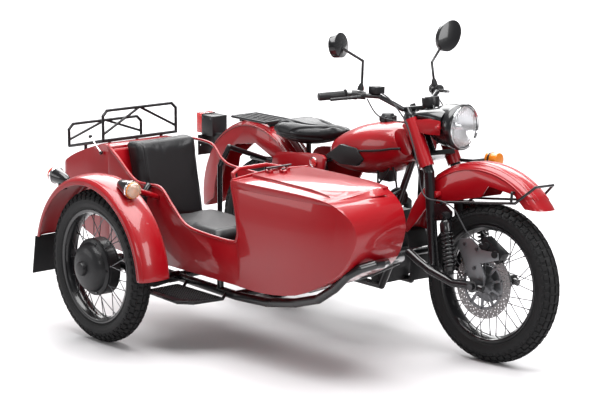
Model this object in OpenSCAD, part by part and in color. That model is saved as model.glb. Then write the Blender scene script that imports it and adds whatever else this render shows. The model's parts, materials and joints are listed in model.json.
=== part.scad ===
/* [Wheels] */
// Outside diameter of the three tyres
tyre_d = 690; // [660:1:710]
// Width of the tyres
tyre_w = 105; // [95:1:115]
// Diameter over the rim flanges
rim_d = 512; // [490:1:530]
// Width over the rim flanges
rim_w = 76; // [70:1:84]
// Spokes in each wheel
spoke_count = 36; // [24:4:40]
// Diameter of a spoke
spoke_d = 4; // [3:0.5:6]
// Diameter of the wheel axles
axle_d = 20; // [16:1:25]
// Radial running clearance of a hub on its axle
running_gap = 0.05; // [0.02:0.01:0.1]
// Diameter of the rear and sidecar brake drums
drum_d = 257; // [230:1:270]
// Outside diameter of the front brake disc
disc_d = 295; // [270:5:310]
// Thickness of the front brake disc
disc_t = 5; // [4:0.5:7]

/* [Layout] */
// Distance between the front and rear axles
wheelbase = 1500; // [1480:5:1540]
// From the motorcycle's centre line to the sidecar wheel
track = 1100; // [1080:5:1160]
// How far the sidecar wheel runs ahead of the rear wheel
wheel_lead = 149; // [120:1:180]

/* [Steering] */
// Angle of the steering axis from the vertical
rake = 29; // [27:0.5:30]
// A point on the steering axis at the upper yoke, forward of the rear axle
head_x = 1010; // [1000:1:1020]
// Height of that point
head_z = 1035; // [1030:1:1060]
// How far the fork is turned to the left at rest
rest_turn = 7; // [0:1:20]
// Distance of the fork legs ahead of the steering axis
fork_offset = 41; // [38:1:50]
// Distance of each fork leg from the centre line
leg_y = 95; // [92:1:105]
// Diameter of the fork legs
leg_d = 46; // [40:1:48]
// Diameter of the painted tubes that cover the legs
cover_d = 64; // [58:1:66]
// Width of the handlebar over its ends
bar_span = 810; // [760:10:860]
// Diameter of the handlebar tube
bar_d = 22; // [20:1:26]
// Diameter of the headlight
lamp_d = 200; // [180:5:210]

/* [Motorcycle] */
// Diameter of the frame tubes
tube_d = 32; // [28:1:36]
// Distance of the cradle tubes from the centre line
cradle_y = 90; // [80:1:100]
// Height of the lower cradle tubes
cradle_z = 235; // [220:1:250]
// Width of the tank
tank_w = 306; // [270:1:330]
// Width of the front and rear mudguards
guard_w = 136; // [130:1:138]
// Thickness of the mudguards, covers and lids
sheet_t = 4; // [3:0.5:6]
// Height of the cylinders' axis
crank_z = 430; // [410:1:450]
// Distance of the cylinder head covers from the centre line
head_reach = 335; // [320:1:345]

/* [Sidecar body] */
// Outer side of the body, from the motorcycle's centre line
body_out = 850; // [830:1:870]
// Inner side of the body
body_in = 390; // [375:1:400]
// Height of the underside of the body
body_floor = 338; // [325:1:350]
// Foremost point of the nose
nose_x = 1478; // [1450:1:1500]
// Rearmost point of the luggage box
tail_x = -560; // [-600:1:-540]
// Thickness of the body panels
wall = 10; // [6:1:14]
// Thickness of the seat back
back_t = 72; // [60:1:80]
// Height of the seat cushion
cushion_t = 105; // [80:1:110]
// Width of the sidecar mudguard
side_guard_w = 160; // [150:1:180]
// Radius of the sidecar mudguard's crown
side_guard_r = 436; // [425:1:450]
// Diameter of the sidecar frame tubes
side_tube_d = 40; // [36:1:44]
// Diameter of the tubes of the luggage rack
rack_d = 14; // [10:1:16]

/* [Fits] */
// Gap between pieces that seat on each other
seat_gap = 0.3; // [0.2:0.1:0.6]

/* [Hidden] */
$fn = 48;
red = "firebrick";
black = "#26262a";
steel = "silver";
grey = "#8c8f94";
rubber = "#1d1d1f";

tyre_r = tyre_d / 2;
rim_r = rim_d / 2;
front_hub = [wheelbase, 0, tyre_r];
rear_hub = [0, 0, tyre_r];
side_hub = [wheel_lead, -track, tyre_r];
head = [head_x, 0, head_z];
steer_axis = [-sin(rake), 0, cos(rake)];

// A point in the fork: t down the steering axis, n ahead of it, y to the left
function fork(t, n, y) = [head_x + t * sin(rake) + n * cos(rake), y,
  head_z - t * cos(rake) + n * sin(rake)];
function xz(p) = [p.x, p.z];
function flip(p) = [p.x, -p.y, p.z];
// A smooth line through the points, with steps pieces between each two of them
function spline(p, steps) = let (n = len(p) - 1)
  [for (i = [0 : n - 1], k = [0 : steps - 1]) let (
    a = p[max(i - 1, 0)], b = p[i], c = p[i + 1], d = p[min(i + 2, n)], t = k / steps)
    0.5 * (2 * b + (c - a) * t + (2 * a - 5 * b + 4 * c - d) * pow(t, 2)
      + (3 * b - a - 3 * c + d) * pow(t, 3)), p[n]];
// The outline moved inwards by d, for an outline that runs anticlockwise
function inset(p, d) = let (n = len(p)) [for (i = [0 : n - 1]) let (
  e = p[i] - p[(i + n - 1) % n], f = p[(i + 1) % n] - p[i],
  u = [-e.y, e.x] / norm(e), v = [-f.y, f.x] / norm(f))
  p[i] + d * (u + v) / (1 + u * v)];
// Rings of points joined into one closed skin, capped at both ends
module skin(rings) {
  m = len(rings[0]);
  n = len(rings);
  polyhedron([for (r = rings) each r],
    [[for (j = [0 : m - 1]) j],
      for (i = [0 : n - 2], j = [0 : m - 1]) let (
        a = i * m + j, b = i * m + (j + 1) % m) each [[a, a + m, b], [b, a + m, b + m]],
      [for (j = [m - 1 : -1 : 0]) (n - 1) * m + j]]);
}
// A round cord swept along a path
module swept(path, d, sides = 8) {
  n = len(path) - 1;
  skin([for (i = [0 : n]) let (
    t = path[min(i + 1, n)] - path[max(i - 1, 0)], f = t / norm(t),
    s = cross(f, [0.2, 0.9, 0.3]), u = s / norm(s), v = cross(f, u))
    [for (k = [0 : sides - 1]) path[i]
      + d / 2 * (u * cos(360 * k / sides) + v * sin(360 * k / sides))]]);
}
module rod(a, b, d) {
  v = b - a;
  translate(a) rotate([0, acos(v.z / norm(v)), atan2(v.y, v.x)]) cylinder(d = d, h = norm(v));
}
module bent_tube(path, d) {
  for (i = [0 : len(path) - 2]) rod(path[i], path[i + 1], d);
  for (i = [1 : len(path) - 2]) translate(path[i]) sphere(d = d + 0.4);
}
// A bar along Y from y0 to y1 at x, z
module cross_bar(x, z, y0, y1, d) {
  rod([x, min(y0, y1), z], [x, max(y0, y1), z], d);
}
// A plate with a side outline, from y0 to y1
module side_plate(outline, y0, y1) {
  translate([0, max(y0, y1), 0]) rotate([90, 0, 0])
    linear_extrude(abs(y1 - y0)) polygon(outline);
}
module both_sides() {
  children();
  mirror([0, 1, 0]) children();
}
module steered() {
  translate(head) rotate(a = rest_turn, v = steer_axis) translate(-head) children();
}
// A wheel's own frame: Z along the axle, towards the left
module at_wheel(c) {
  translate(c) rotate([-90, 0, 0]) children();
}

// ---- wheels ----
bead_r = rim_r - 10;
bead_w = rim_w - 12;
well_r = rim_r - 20;
hub_bore = axle_d + 2 * running_gap;
module tyre(c) {
  color(rubber) at_wheel(c) rotate_extrude($fn = 96) {
    difference() {
      translate([tyre_r - tyre_w / 2, 0]) circle(d = tyre_w, $fn = 64);
      translate([0, -tyre_w]) square([rim_r + 1, 2 * tyre_w]);
    }
    translate([bead_r + seat_gap, -bead_w / 2 + seat_gap])
      square([rim_r + 2 - bead_r, bead_w - 2 * seat_gap]);
  }
}
module rim() {
  half = [[rim_r, rim_w / 2], [rim_r, rim_w / 2 - 5], [bead_r, bead_w / 2],
    [bead_r - 1, bead_w / 4 + 2], [well_r, bead_w / 4 - 4]];
  under = [[well_r - 7, bead_w / 4 - 3], [bead_r - 8, bead_w / 4 + 4],
    [bead_r - 6, bead_w / 2 + 2], [rim_r - 6, rim_w / 2]];
  rotate_extrude($fn = 96) polygon([each half,
    for (i = [len(half) - 1 : -1 : 0]) [half[i].x, -half[i].y],
    for (i = [len(under) - 1 : -1 : 0]) [under[i].x, -under[i].y], each under]);
}
// Spokes from two flanges of radius r at heights z0 and z1 to the rim
module spokes(r, z0, z1, lace) {
  for (i = [0 : spoke_count - 1]) {
    a = 360 * i / spoke_count;
    b = a + (floor(i / 2) % 2 == 0 ? lace : -lace);
    z = i % 2 == 0 ? z0 : z1;
    rod([r * cos(b), r * sin(b), z],
      [(well_r - 4) * cos(a), (well_r - 4) * sin(a), i % 2 == 0 ? -5 : 5], spoke_d);
  }
}
// A turned hub, bored for the axle, with its spokes and rim
module laced_wheel(c, hub, flange_r, z0, z1, lace) {
  color(black) at_wheel(c) {
    rim();
    spokes(flange_r, z0, z1, lace);
    rotate_extrude($fn = 64) polygon(hub);
  }
}
disc_y = -60;
module front_wheel() {
  b = hub_bore / 2;
  laced_wheel(front_hub, [[b, disc_y], [52, disc_y], [52, -50], [34, -44], [34, -36], [78, -34],
    [78, -28], [34, -24], [30, 24], [78, 28], [78, 34], [34, 36], [34, 55], [b, 55]],
    74, -31, 31, 36);
}
module brake_disc() {
  color(steel) at_wheel(front_hub + [0, disc_y - disc_t, 0]) difference() {
    cylinder(d = disc_d, h = disc_t, $fn = 96);
    translate([0, 0, -1]) cylinder(r = 40, h = disc_t + 2);
    for (i = [0 : 5]) rotate(60 * i) translate([78, 0, -1]) cylinder(d = 38, h = disc_t + 2);
  }
}
module rear_wheel() {
  b = hub_bore / 2;
  r = drum_d / 2 - 4;
  laced_wheel(rear_hub, [[b, -50], [60, -50], [60, -36], [r, -34], [r, 34], [60, 36],
    [60, 50], [b, 50]], r - 4, -30, 30, 12);
}
cap_reach = 120;
module sidecar_wheel() {
  b = hub_bore / 2;
  r = drum_d / 2;
  laced_wheel(side_hub, [[b, 45], [60, 45], [60, 22], [r, 16], [r, -46], [110, -54],
    [104, -74], [80, -90], [40, -98], [32, -100], [30, 2 - cap_reach], [0, -cap_reach],
    [0, -62], [b, -62]], r - 4, 10, -40, 12);
}

// ---- motorcycle frame, engine and running gear ----
neck_top = fork(58, 0, 0);
neck_bottom = fork(205, 0, 0);
stem_d = 34;
cradle_x = 900;
pivot_x = 388;
rail_x = 280;
rail_z = 700;
rail_d = tube_d - 8;
top_tube = [fork(85, -20, 0), [900, 0, 872], [500, 0, 760]];
cradle_tube = [fork(130, -20, 12), [985, cradle_y - 24, 640], [cradle_x + 50, cradle_y, 330],
  [cradle_x, cradle_y, cradle_z], [pivot_x, cradle_y, cradle_z], [pivot_x, cradle_y, 360],
  [rail_x, cradle_y, rail_z]];
seat_rail = [[500, 0, 760], [rail_x, cradle_y, rail_z], [-40, cradle_y, rail_z - 4]];
module frame_tubes(grow) {
  rod(neck_top, neck_bottom, 60 + grow);
  bent_tube(top_tube, tube_d + grow);
  both_sides() {
    bent_tube(cradle_tube, tube_d + grow);
    bent_tube(seat_rail, rail_d + grow);
  }
  cross_bar(rail_x, rail_z, -cradle_y, cradle_y, rail_d + grow);
  cross_bar(pivot_x, tyre_r, -cradle_y, cradle_y, 34 + grow);
  cross_bar(958, 400, 4 - cradle_y, cradle_y - 4, 24 + grow);
}
module main_frame() {
  color(black) difference() {
    frame_tubes(0);
    rod(neck_top + 9 * steer_axis, neck_bottom - 9 * steer_axis, stem_d + 2 * running_gap);
  }
}
module engine_block() {
  color(grey) difference() {
    union() {
      translate([600, -100, 262]) cube([290, 200, 300]);
      translate([890, 0, crank_z - 20]) rotate([0, 90, 0]) cylinder(d = 196, h = 40);
      translate([pivot_x + 24, -70, 290]) cube([212, 140, 220]);
      for (x = [630, 840]) translate([x, -100, cradle_z]) cube([36, 200, 40]);
    }
    frame_tubes(2 * seat_gap);
  }
}
module cylinders() {
  color(grey) both_sides() translate([740, 0, crank_z]) rotate([-90, 0, 0]) {
    translate([0, 0, 100 + seat_gap]) cylinder(d = 96, h = 160);
    for (i = [0 : 6]) translate([0, 0, 118 + 15 * i]) cylinder(d = 150, h = 6);
    translate([-75, -62, 225]) cube([150, 124, 60]);
    translate([0, 0, 285]) cylinder(d = 120, h = head_reach - 285);
  }
}
module air_box() {
  color(black) {
    translate([400, -95, 530]) cube([170, 190, 120]);
    both_sides() {
      rod([570 + seat_gap, 70, 600], [660, 140, 585], 44);
      translate([660, 140, 585]) sphere(d = 60);
      bent_tube([[660, 140, 585], [690, 215, 572], [695, 255, 545],
        [695, 255, crank_z + 62 + seat_gap]], 40);
    }
  }
}
module exhausts() {
  color(steel) both_sides() {
    bent_tube([[815 + seat_gap, 255, crank_z], [850, 255, crank_z], [890, 246, 400],
      [885, 232, 340], [800, 215, 322], [330, 190, 322]], 38);
    rod([340, 190, 322], [200, 188, 325], 70);
    rod([200, 188, 325], [-330, 184, 340], 84);
    rod([-330, 184, 340], [-400, 183, 342], 44);
  }
}
arm_y = 115;
module swingarm() {
  color(black) difference() {
    union() {
      both_sides() rod([pivot_x + 14, arm_y, tyre_r], [0, arm_y, tyre_r], 40);
      cross_bar(0, tyre_r, -132, 132, axle_d);
      at_wheel(rear_hub + [0, -118, 0]) cylinder(d = 190, h = 62);
      cross_bar(0, tyre_r, 60, 96, 70);
    }
    frame_tubes(2 * seat_gap);
  }
}
module rear_shocks() {
  color(black) both_sides() difference() {
    union() {
      rod([60, 138, 372], [85, 128, 480], 36);
      rod([75, 132, 430], [110, 120, 640], 62);
      rod([110, 120, 640], [118, 117, 705], 36);
    }
    rod([pivot_x, arm_y, tyre_r], [0, arm_y, tyre_r], 40 + 2 * seat_gap);
    at_wheel(rear_hub + [0, -118 - seat_gap, 0])
      cylinder(d = 190 + 2 * seat_gap, h = 236 + 2 * seat_gap);
    frame_tubes(2 * seat_gap);
  }
}

// ---- tank, seat and rear end ----
// Tank sections: distance along, bottom, top, half width as a share of the tank's
tank_rings = spline([[500, 752, 826, 0.2], [530, 738, 856, 0.52], [600, 726, 894, 0.78],
  [700, 722, 938, 0.93], [800, 726, 964, 1], [900, 745, 976, 1], [975, 776, 976, 0.93],
  [1030, 806, 962, 0.78], [1062, 830, 940, 0.5]], 2);
module rounded_skin(rings, half_w, power) {
  skin([for (s = rings) [for (k = [0 : 23]) let (
    c = cos(15 * k), v = sin(15 * k), e = 2 / power)
    [s[0], s[3] * half_w * sign(c) * pow(abs(c), e),
      (s[1] + s[2]) / 2 + (s[2] - s[1]) / 2 * sign(v) * pow(abs(v), e)]]]);
}
module fuel_tank() {
  color(red) difference() {
    rounded_skin(tank_rings, tank_w / 2, 2.6);
    frame_tubes(2 * seat_gap);
    rod(neck_top + 40 * steer_axis, neck_bottom - 40 * steer_axis, 147);
    both_sides() hull() for (a = [-32, -10, 12])
      translate(head) rotate(a = a, v = steer_axis) translate(-head)
        rod(fork(20, fork_offset, -leg_y), fork(290, fork_offset, -leg_y), cover_d + 16);
    translate([filler_x, 0, 967 + seat_gap]) cylinder(d = 78, h = 60);
  }
}
filler_x = 834;
module filler_cap() {
  color(black) translate([filler_x, 0, 0]) {
    translate([0, 0, 967 + 2 * seat_gap]) cylinder(d = 70, h = 24);
    for (i = [0 : 5]) rotate(60 * i) translate([32, 0, 975]) cylinder(d = 12, h = 20);
    translate([0, 0, 985]) cylinder(d = 54, h = 20);
  }
}
module knee_pads() {
  color(rubber) both_sides() difference() {
    side_plate([[590, 800], [690, 772], [800, 778], [845, 812], [800, 858], [690, 862]],
      100, tank_w / 2 + 8);
    rounded_skin([for (s = tank_rings) [s[0], s[1], s[2], s[3] + 0.004]], tank_w / 2, 2.6);
  }
}
saddle_rings = spline([[118, 846, 872, 0.35], [150, 826, 896, 0.82], [230, 812, 912, 1],
  [320, 806, 912, 0.98], [400, 818, 902, 0.72], [470, 842, 900, 0.46], [530, 866, 902, 0.34],
  [560, 876, 898, 0.2]], 2);
module saddle() {
  color(rubber) difference() {
    union() {
      rounded_skin(saddle_rings, 138, 2.5);
      rod([rail_x, 0, 830], [rail_x, 0, rail_z], 24);
    }
    frame_tubes(2 * seat_gap);
  }
}
module side_covers() {
  color(red) both_sides() {
    side_plate(spline([[175, 575], [160, 690], [200, 752], [330, 772], [530, 786], [540, 728],
      [500, 640], [430, 585], [300, 570], [175, 575]], 3), 118, 130);
    cross_bar(310, 600, cradle_y + tube_d / 2 + seat_gap, 118, 16);
  }
}
// A mudguard shell: a crowned strip of radius r, with skirts of a given depth
module guard(c, r, w, skirt, outline, crown = 26) {
  side = [[0, r], [w * 0.2, r - crown * 0.09], [w * 0.35, r - crown * 0.36],
    [w * 0.45, r - crown * 0.7], [w / 2, r - crown * 1.15]];
  rim_out = [for (p = side) [p.y, p.x]];
  intersection() {
    at_wheel(c) rotate_extrude($fn = 96) polygon([
      for (i = [4 : -1 : 1]) [rim_out[i].x, -rim_out[i].y], each rim_out,
      [r - crown - skirt, w / 2], [r - crown - skirt, w / 2 - sheet_t],
      for (i = [4 : -1 : 0]) [rim_out[i].x - sheet_t, rim_out[i].y * (1 - 2 * sheet_t / w)],
      for (i = [1 : 4]) [rim_out[i].x - sheet_t, -rim_out[i].y * (1 - 2 * sheet_t / w)],
      [r - crown - skirt, sheet_t - w / 2], [r - crown - skirt, -w / 2]]);
    side_plate(outline, c.y - w, c.y + w);
  }
}
rear_guard_c = [-74, 0, 450];
rear_guard_r = 414;
module rear_fender() {
  color(red) {
    guard(rear_guard_c, rear_guard_r, guard_w, 90, [[-620, 300], [-380, 440], [-330, 640],
      [-200, 735], [-40, 760], [110, 700], [190, 560], [400, 500], [400, 1000], [-620, 1000]]);
    both_sides() for (x = [-20, 150])
      cross_bar(x, rail_z - 3, guard_w / 2 - 1, cradle_y - rail_d / 2 - seat_gap, 18);
  }
}
rack_z = 871;
module rear_rack() {
  color(black) difference() {
    union() {
      bent_tube([[-212, -75, rack_z], [50, -75, rack_z], [50, 75, rack_z], [-212, 75, rack_z],
        [-212, -75, rack_z]], rack_d);
      for (i = [1 : 4]) rod([-212, -75 + 30 * i, rack_z], [50, -75 + 30 * i, rack_z], rack_d - 2);
      for (x = [-190, 30]) translate([x - 10, -40, 800]) cube([20, 80, rack_z - 800]);
    }
    at_wheel(rear_guard_c) cylinder(r = rear_guard_r + seat_gap, h = 400, center = true, $fn = 96);
  }
}
tail_x0 = -544;
plate_holes = 110;
module tail_light() {
  // bracket for a number plate, with its two bolt holes
  color(black) difference() {
    translate([-500, -70, 640]) cube([4, 140, 102 - seat_gap]);
    for (s = [-1, 1]) translate([-510, s * plate_holes / 2, 690]) rotate([0, 90, 0])
      cylinder(d = 7, h = 20);
  }
  color(black) difference() {
    union() {
      translate([-500, -45, 742]) cube([90, 90, 100]);
      translate([-420, -30, 700]) cube([60, 60, 60]);
    }
    at_wheel(rear_guard_c) cylinder(r = rear_guard_r + seat_gap, h = 400, center = true, $fn = 96);
  }
  color(red) translate([tail_x0, -42, 749]) cube([44 - seat_gap, 84, 98]);
}
module foot_controls() {
  color(black) both_sides() {
    rod([560, cradle_y + tube_d / 2 + seat_gap, cradle_z], [560, 165, cradle_z + 5], 20);
    rod([560, 165, cradle_z + 5], [560, 255, cradle_z + 12], 36);
    bent_tube([[560, 130, cradle_z + 2], [640, 120, cradle_z + 8], [680, 160, cradle_z + 40]], 14);
  }
}

// ---- sidecar ----
// Side view of the body, anticlockwise, and its plan
body_side = [each spline([[tail_x + 10, 600], [tail_x + 30, 500], [-430, 425], [-260, 365],
    [-60, body_floor], [300, body_floor]], 3),
  each spline([[802, body_floor], [983, body_floor - 4], [1167, 357], [1290, 410], [1390, 478],
    [1440, 560], [nose_x - 18, 640], [1440, 705], [1400, 745], [1340, 775], [1206, 790],
    [960, 795], [700, 795]], 3),
  [120, 795], [-60, 812], [-160, 822], each spline([[-205, 822], [-330, 782], [-460, 732],
    [tail_x + 16, 672], [tail_x + 10, 600.5]], 3)];
body_plan = [each spline([[tail_x, -620], [tail_x + 6, -720], [tail_x + 30, 10 - body_out],
    [tail_x + 110, -body_out]], 3),
  each spline([[833, -body_out], [983, 10 - body_out], [1206, 35 - body_out],
    [1347, 62 - body_out], [1446, 105 - body_out], [nose_x - 6, 160 - body_out],
    [nose_x, 250 - body_out], [nose_x - 8, -60 - body_in], [1440, -30 - body_in],
    [1330, -12 - body_in], [1150, -body_in]], 3),
  each spline([[tail_x + 110, -body_in], [tail_x + 30, -10 - body_in], [tail_x + 6, -520],
    [tail_x, -619]], 3)];
// The nose's own outline, square to a wall that turns in towards the bike
nose_side = [[-900, 100], [1000, 100], each spline([[1080, 300], [1167, 357], [1290, 410],
  [1390, 478], [1440, 560], [nose_x - 18, 640], [1440, 705], [1400, 745], [1340, 775]], 3),
  [1300, 1200], [-900, 1200]];
nose_turn = 9.8;
module body_solid(d) {
  intersection() {
    side_plate(inset(body_side, d), -body_in, -body_out);
    translate([1449, -745, 0]) rotate([0, 0, nose_turn]) translate([-1449, 745, 0])
      side_plate(inset(nose_side, d), -200, -1300);
    translate([0, 0, 200]) linear_extrude(700) polygon(inset(body_plan, d));
  }
}
trunk_x = -150;
cowl_x = 780;
cowl_z = 762;
deck_hinge = [-206, 823];
// The seat's bulkhead leans back from its foot to its head
bulkhead = [[-10, body_floor + wall], [-130, 812]];
lean = (bulkhead[1].x - bulkhead[0].x) / (bulkhead[1].y - bulkhead[0].y);
function seat_face(z) = bulkhead[0].x + wall + lean * (z - bulkhead[0].y);
rim_line = [[-128, 806], [-60, 765], [57, 690], [150, 682], [258, 682], [350, 610], [435, 548],
  [537, 529], [766, 524], [812, 545], [818, 600], [800, 690], [cowl_x, cowl_z]];
far_rim = [[-128, 812], [40, 804], [125, 742], [226, 719], [560, 713], [720, 718], [740, 740],
  [740, 900]];
module sidecar_tub() {
  color(red) difference() {
    union() {
      difference() {
        body_solid(0);
        body_solid(wall);
      }
      intersection() {
        body_solid(0.5);
        union() {
          side_plate([bulkhead[0], bulkhead[0] + [wall, 0], bulkhead[1] + [wall, 0],
            bulkhead[1] + [-14, 0]], -body_in, -body_out);
          translate([60, 5 - body_out, body_floor + 1]) cube([500, body_out - body_in - 10, 76]);
        }
      }
    }
    translate([tail_x - 50, -body_out - 50, 0]) cube([trunk_x - tail_x + 50, 600, 1000]);
    translate([cowl_x - 45, -body_out - 50, cowl_z]) cube([900, 600, 200]);
    side_plate([each spline(rim_line, 2), [cowl_x, 900], [-128, 900]],
      -body_out - 10, -body_out + 140);
    side_plate([each spline(far_rim, 2), [-128, 900]], -body_in + 10, -body_out + 139);
    side_plate([[seat_face(690) + seat_gap / 2, 690], [735, 690], [735, 900],
      [seat_face(900) + seat_gap / 2, 900]], -body_in - wall, -body_out + wall);
  }
}
module sidecar_cowl() {
  color(red) intersection() {
    union() {
      difference() {
        body_solid(0);
        body_solid(wall);
      }
      // the raised panel along the top
      side_plate([[cowl_x + 6, 780], [1330, 765], [1290, 791], [1180, 803], [cowl_x + 6, 808]],
        -body_in - 60, -body_out + 110);
    }
    translate([0, -body_out - 50, cowl_z + seat_gap]) linear_extrude(120)
      polygon([[cowl_x, 0], [nose_x + 50, 0], [nose_x + 50, 600], [cowl_x - 45, 600]]);
  }
}
module deck_cut(grow) {
  translate([tail_x + 24 - grow, 24 - body_out - grow, 640])
    cube([deck_hinge.x - tail_x - 24 + grow + min(0, grow + 2.5 - seat_gap),
      body_out - body_in - 48 + 2 * grow, 300]);
}
module sidecar_trunk() {
  color(red) intersection() {
    difference() {
      body_solid(0);
      body_solid(wall);
      deck_cut(2.5);
    }
    translate([tail_x - 50, -body_out - 50, 0])
      cube([trunk_x - seat_gap - tail_x + 50, 600, 1000]);
  }
}
module trunk_lid() {
  color(red) intersection() {
    difference() {
      body_solid(0);
      body_solid(wall);
    }
    deck_cut(-2.5);
  }
}
rack_front = -212;
rack_rear = -500;
module rack_hoop(x, y0, y1, low, high) {
  r = 24; // how far its upper corners are cut back
  bent_tube([[x, y0, low], [x, y0, high - r], [x, y0 + r, high], [x, y1 - r, high],
    [x, y1, high - r], [x, y1, low], [x, y0, low]], rack_d);
}
module luggage_rack() {
  y0 = 18 - body_out;
  y1 = -25 - body_in;
  zf = 833;
  zr = 770;
  apex = (y0 + y1) / 2;
  color(black) difference() {
    union() {
      rack_hoop(rack_front, y0, y1, zf, 972);
      rack_hoop(rack_rear, y0, y1, zr, 874);
      for (y = [y0, y1]) {
        rod([rack_front, y, zf], [rack_rear, y, zr], rack_d);
        rod([rack_front, apex, 972], [rack_front, y, 862], rack_d - 2);
        rod([rack_rear, apex, 874], [rack_rear, y, 800], rack_d - 2);
      }
      for (i = [1 : 3]) let (y = y0 + (y1 - y0) * i / 4)
        rod([rack_front, y, zf], [rack_rear, y, zr], rack_d - 2);
      for (x = [-250, -450], y = [y0 + 60, y1 - 60]) translate([x, y, 720])
        cylinder(d = rack_d + 2, h = 54 + (x - rack_rear) * 0.219);
      for (x = [-250, -450]) rod([x, y0, 770 + (x - rack_rear) * 0.219],
        [x, y1, 770 + (x - rack_rear) * 0.219], rack_d - 2);
    }
    body_solid(-seat_gap);
  }
}
back_flare = 40;
module seat_back() {
  foot = [seat_face(448) + seat_gap, 448];
  top = [seat_face(868) + seat_gap, 868];
  color(rubber) side_plate([foot, foot + [back_t, 0], top + [back_t + back_flare, 0], top],
    -body_in - 16, 45 - body_out);
}
module seat_cushion() {
  color(rubber) translate([112, 50 - body_out, body_floor + 77 + seat_gap])
    cube([488, body_out - body_in - 100, cushion_t]);
}
module grab_handle() {
  color(red) difference() {
    bent_tube([[768, 36 - body_out, cowl_z - 4], [752, 30 - body_out, 815], [750, 60 - body_out, 832],
      [738, 225 - body_out, 830], [745, 300 - body_out, 812], [775, 318 - body_out, 790]], 18);
    body_solid(-seat_gap);
    side_plate([[cowl_x + 5, 780], [1330, 765], [1290, 792], [1180, 804], [cowl_x + 5, 809]],
      -body_in - 59, -body_out + 109);
  }
}
side_guard_c = [wheel_lead - 3, -track, 323];
module sidecar_fender() {
  c = side_guard_c;
  color(red) {
    guard(c, side_guard_r, side_guard_w, 20,
      [[c.x - 600, 421], [c.x, 421], [c.x, 352], [c.x + 600, 352], [c.x + 600, 900], [c.x - 600, 900]],
      22);
    // brackets to the body
    for (s = [-1, 1]) difference() {
      rod([c.x + 90 * s, 20 - body_out, 630], [c.x + 138 * s, side_guard_w / 2 - track - 1, 704], 26);
      body_solid(-seat_gap);
    }
  }
}
flap_x = side_guard_c.x - 408;
module sidecar_mud_flap() {
  color(rubber) translate([0, -track, 0]) side_plate([[flap_x, 421 - seat_gap], [flap_x - 8, 421 - seat_gap],
    [flap_x - 40, 240], [flap_x - 32, 240]], -side_guard_w / 2, side_guard_w / 2);
}
// A bullet lamp's tail point, the way it looks down from level, and its foot's ends
guard_lamps = [[[300, 742], 99, [372, 726], [366, 680]], [[-105, 693], -84, [-160, 697], [-146, 636]]];
lamp_bell = 84; // its widest
module fender_lamps() {
  for (l = guard_lamps) color(l[1] > 0 ? "orange" : "orangered") difference() {
    union() {
      translate([l[0].x, -track, l[0].y]) rotate([0, l[1], 0]) {
        cylinder(d1 = 30, d2 = lamp_bell - 4, h = 110);
        translate([0, 0, 109]) cylinder(d = lamp_bell, h = 22);
      }
      rod([l[2].x, -track, l[2].y], [l[3].x, -track, l[3].y], 40);
    }
    at_wheel(side_guard_c) rotate_extrude($fn = 96) translate([side_guard_r - 80, -100])
      square([80 + seat_gap, 200]);
  }
}
step_z = 236;
module sidecar_step() {
  color(black) difference() {
    union() {
      translate([0, 0, step_z]) linear_extrude(5) polygon([[300, -790], [300, -935], [345, -985],
        [540, -985], [610, -930], [640, -790]]);
      bent_tube([[330, -745, step_z + 34], [330, -780, step_z - 6], [330, -960, step_z - 6],
        [545, -972, step_z - 6], [600, -925, step_z - 6], [620, -780, step_z - 6],
        [620, -745, step_z + 34]], 14);
    }
    bent_tube(side_rail, side_tube_d + 2 * seat_gap);
  }
}
side_rail = [[-170, -740, 262], [680, -745, 250], [880, -735, 258], [1060, -728, 290],
  [1200, -718, 332], [1300, -714, 396], [1380, -712, 468], [1416, -680, 496], [1430, -615, 506],
  [1398, -545, 494], [1350, -480, 482], [1262, -385, 456], [1110, -205, 412], [1060, -125, 398],
  [962, -88, 392]];
inner_rail = [[-170, -740, 262], [-170, -450, 262], [300, -445, 262], [820, -445, 262],
  [1000, -240, 340], [1050, -130, 385]];
module sidecar_frame() {
  t = side_tube_d;
  color(black) difference() {
    union() {
      bent_tube([for (i = [len(inner_rail) - 1 : -1 : 1]) inner_rail[i], each side_rail], t);
      bent_tube([[310, -446, 260], [430, -200, 261], [440, -cradle_y, cradle_z + 6]], t - 3);
      cross_bar(680, 256, -744, -446, t - 4);
      cross_bar(240, 261, -742, -447, t - 4);
      // lugs under the body
      for (x = [-60, 560]) for (y = [-745, -450]) translate([x, y, 262])
        cylinder(d = 30, h = body_floor - 262 - seat_gap);
    }
    frame_tubes(2 * seat_gap);
    body_solid(-seat_gap);
  }
}
module sidecar_struts() {
  color(black) difference() {
    union() {
      bent_tube([[70, -445, 262], [70, -372, 270], [75, -372, 700], [92, -330, 790],
        [70, -cradle_y, rail_z]], 24);
      bent_tube([[740, -445, 262], [745, -372, 300], [860, -372, 420], [940, -250, 600],
        [998, 34 - cradle_y, 690]], 24);
    }
    frame_tubes(2 * seat_gap);
    bent_tube(inner_rail, side_tube_d + 2 * seat_gap);
    body_solid(-seat_gap);
  }
}
module sidecar_arm() {
  color(black) difference() {
    union() {
      bent_tube([[250, -790, 262], [245, -880, 250], [236, -985, 280], [wheel_lead + 75, -1008, tyre_r - 6],
        [wheel_lead, -1010, tyre_r]], 42);
      cross_bar(wheel_lead, tyre_r, -1045, -990, 80);
      cross_bar(wheel_lead, tyre_r, -track - 55, -1010, axle_d);
      cross_bar(250, 262, -800, -745, 50);
      rod([wheel_lead + 73, -990, 350], [wheel_lead + 40, -900, 640], 54);
      rod([wheel_lead + 40, -900, 640], [wheel_lead + 36, -body_out - 8, 690], 30);
    }
    bent_tube(side_rail, side_tube_d + 2 * seat_gap);
    body_solid(-seat_gap);
    at_wheel([wheel_lead, -track + 45, tyre_r]) translate([0, 0, -90]) difference() {
      cylinder(d = drum_d + 20, h = 90 + 5);
      translate([0, 0, -1]) cylinder(d = axle_d + 0.01, h = 100);
    }
  }
}

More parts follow.
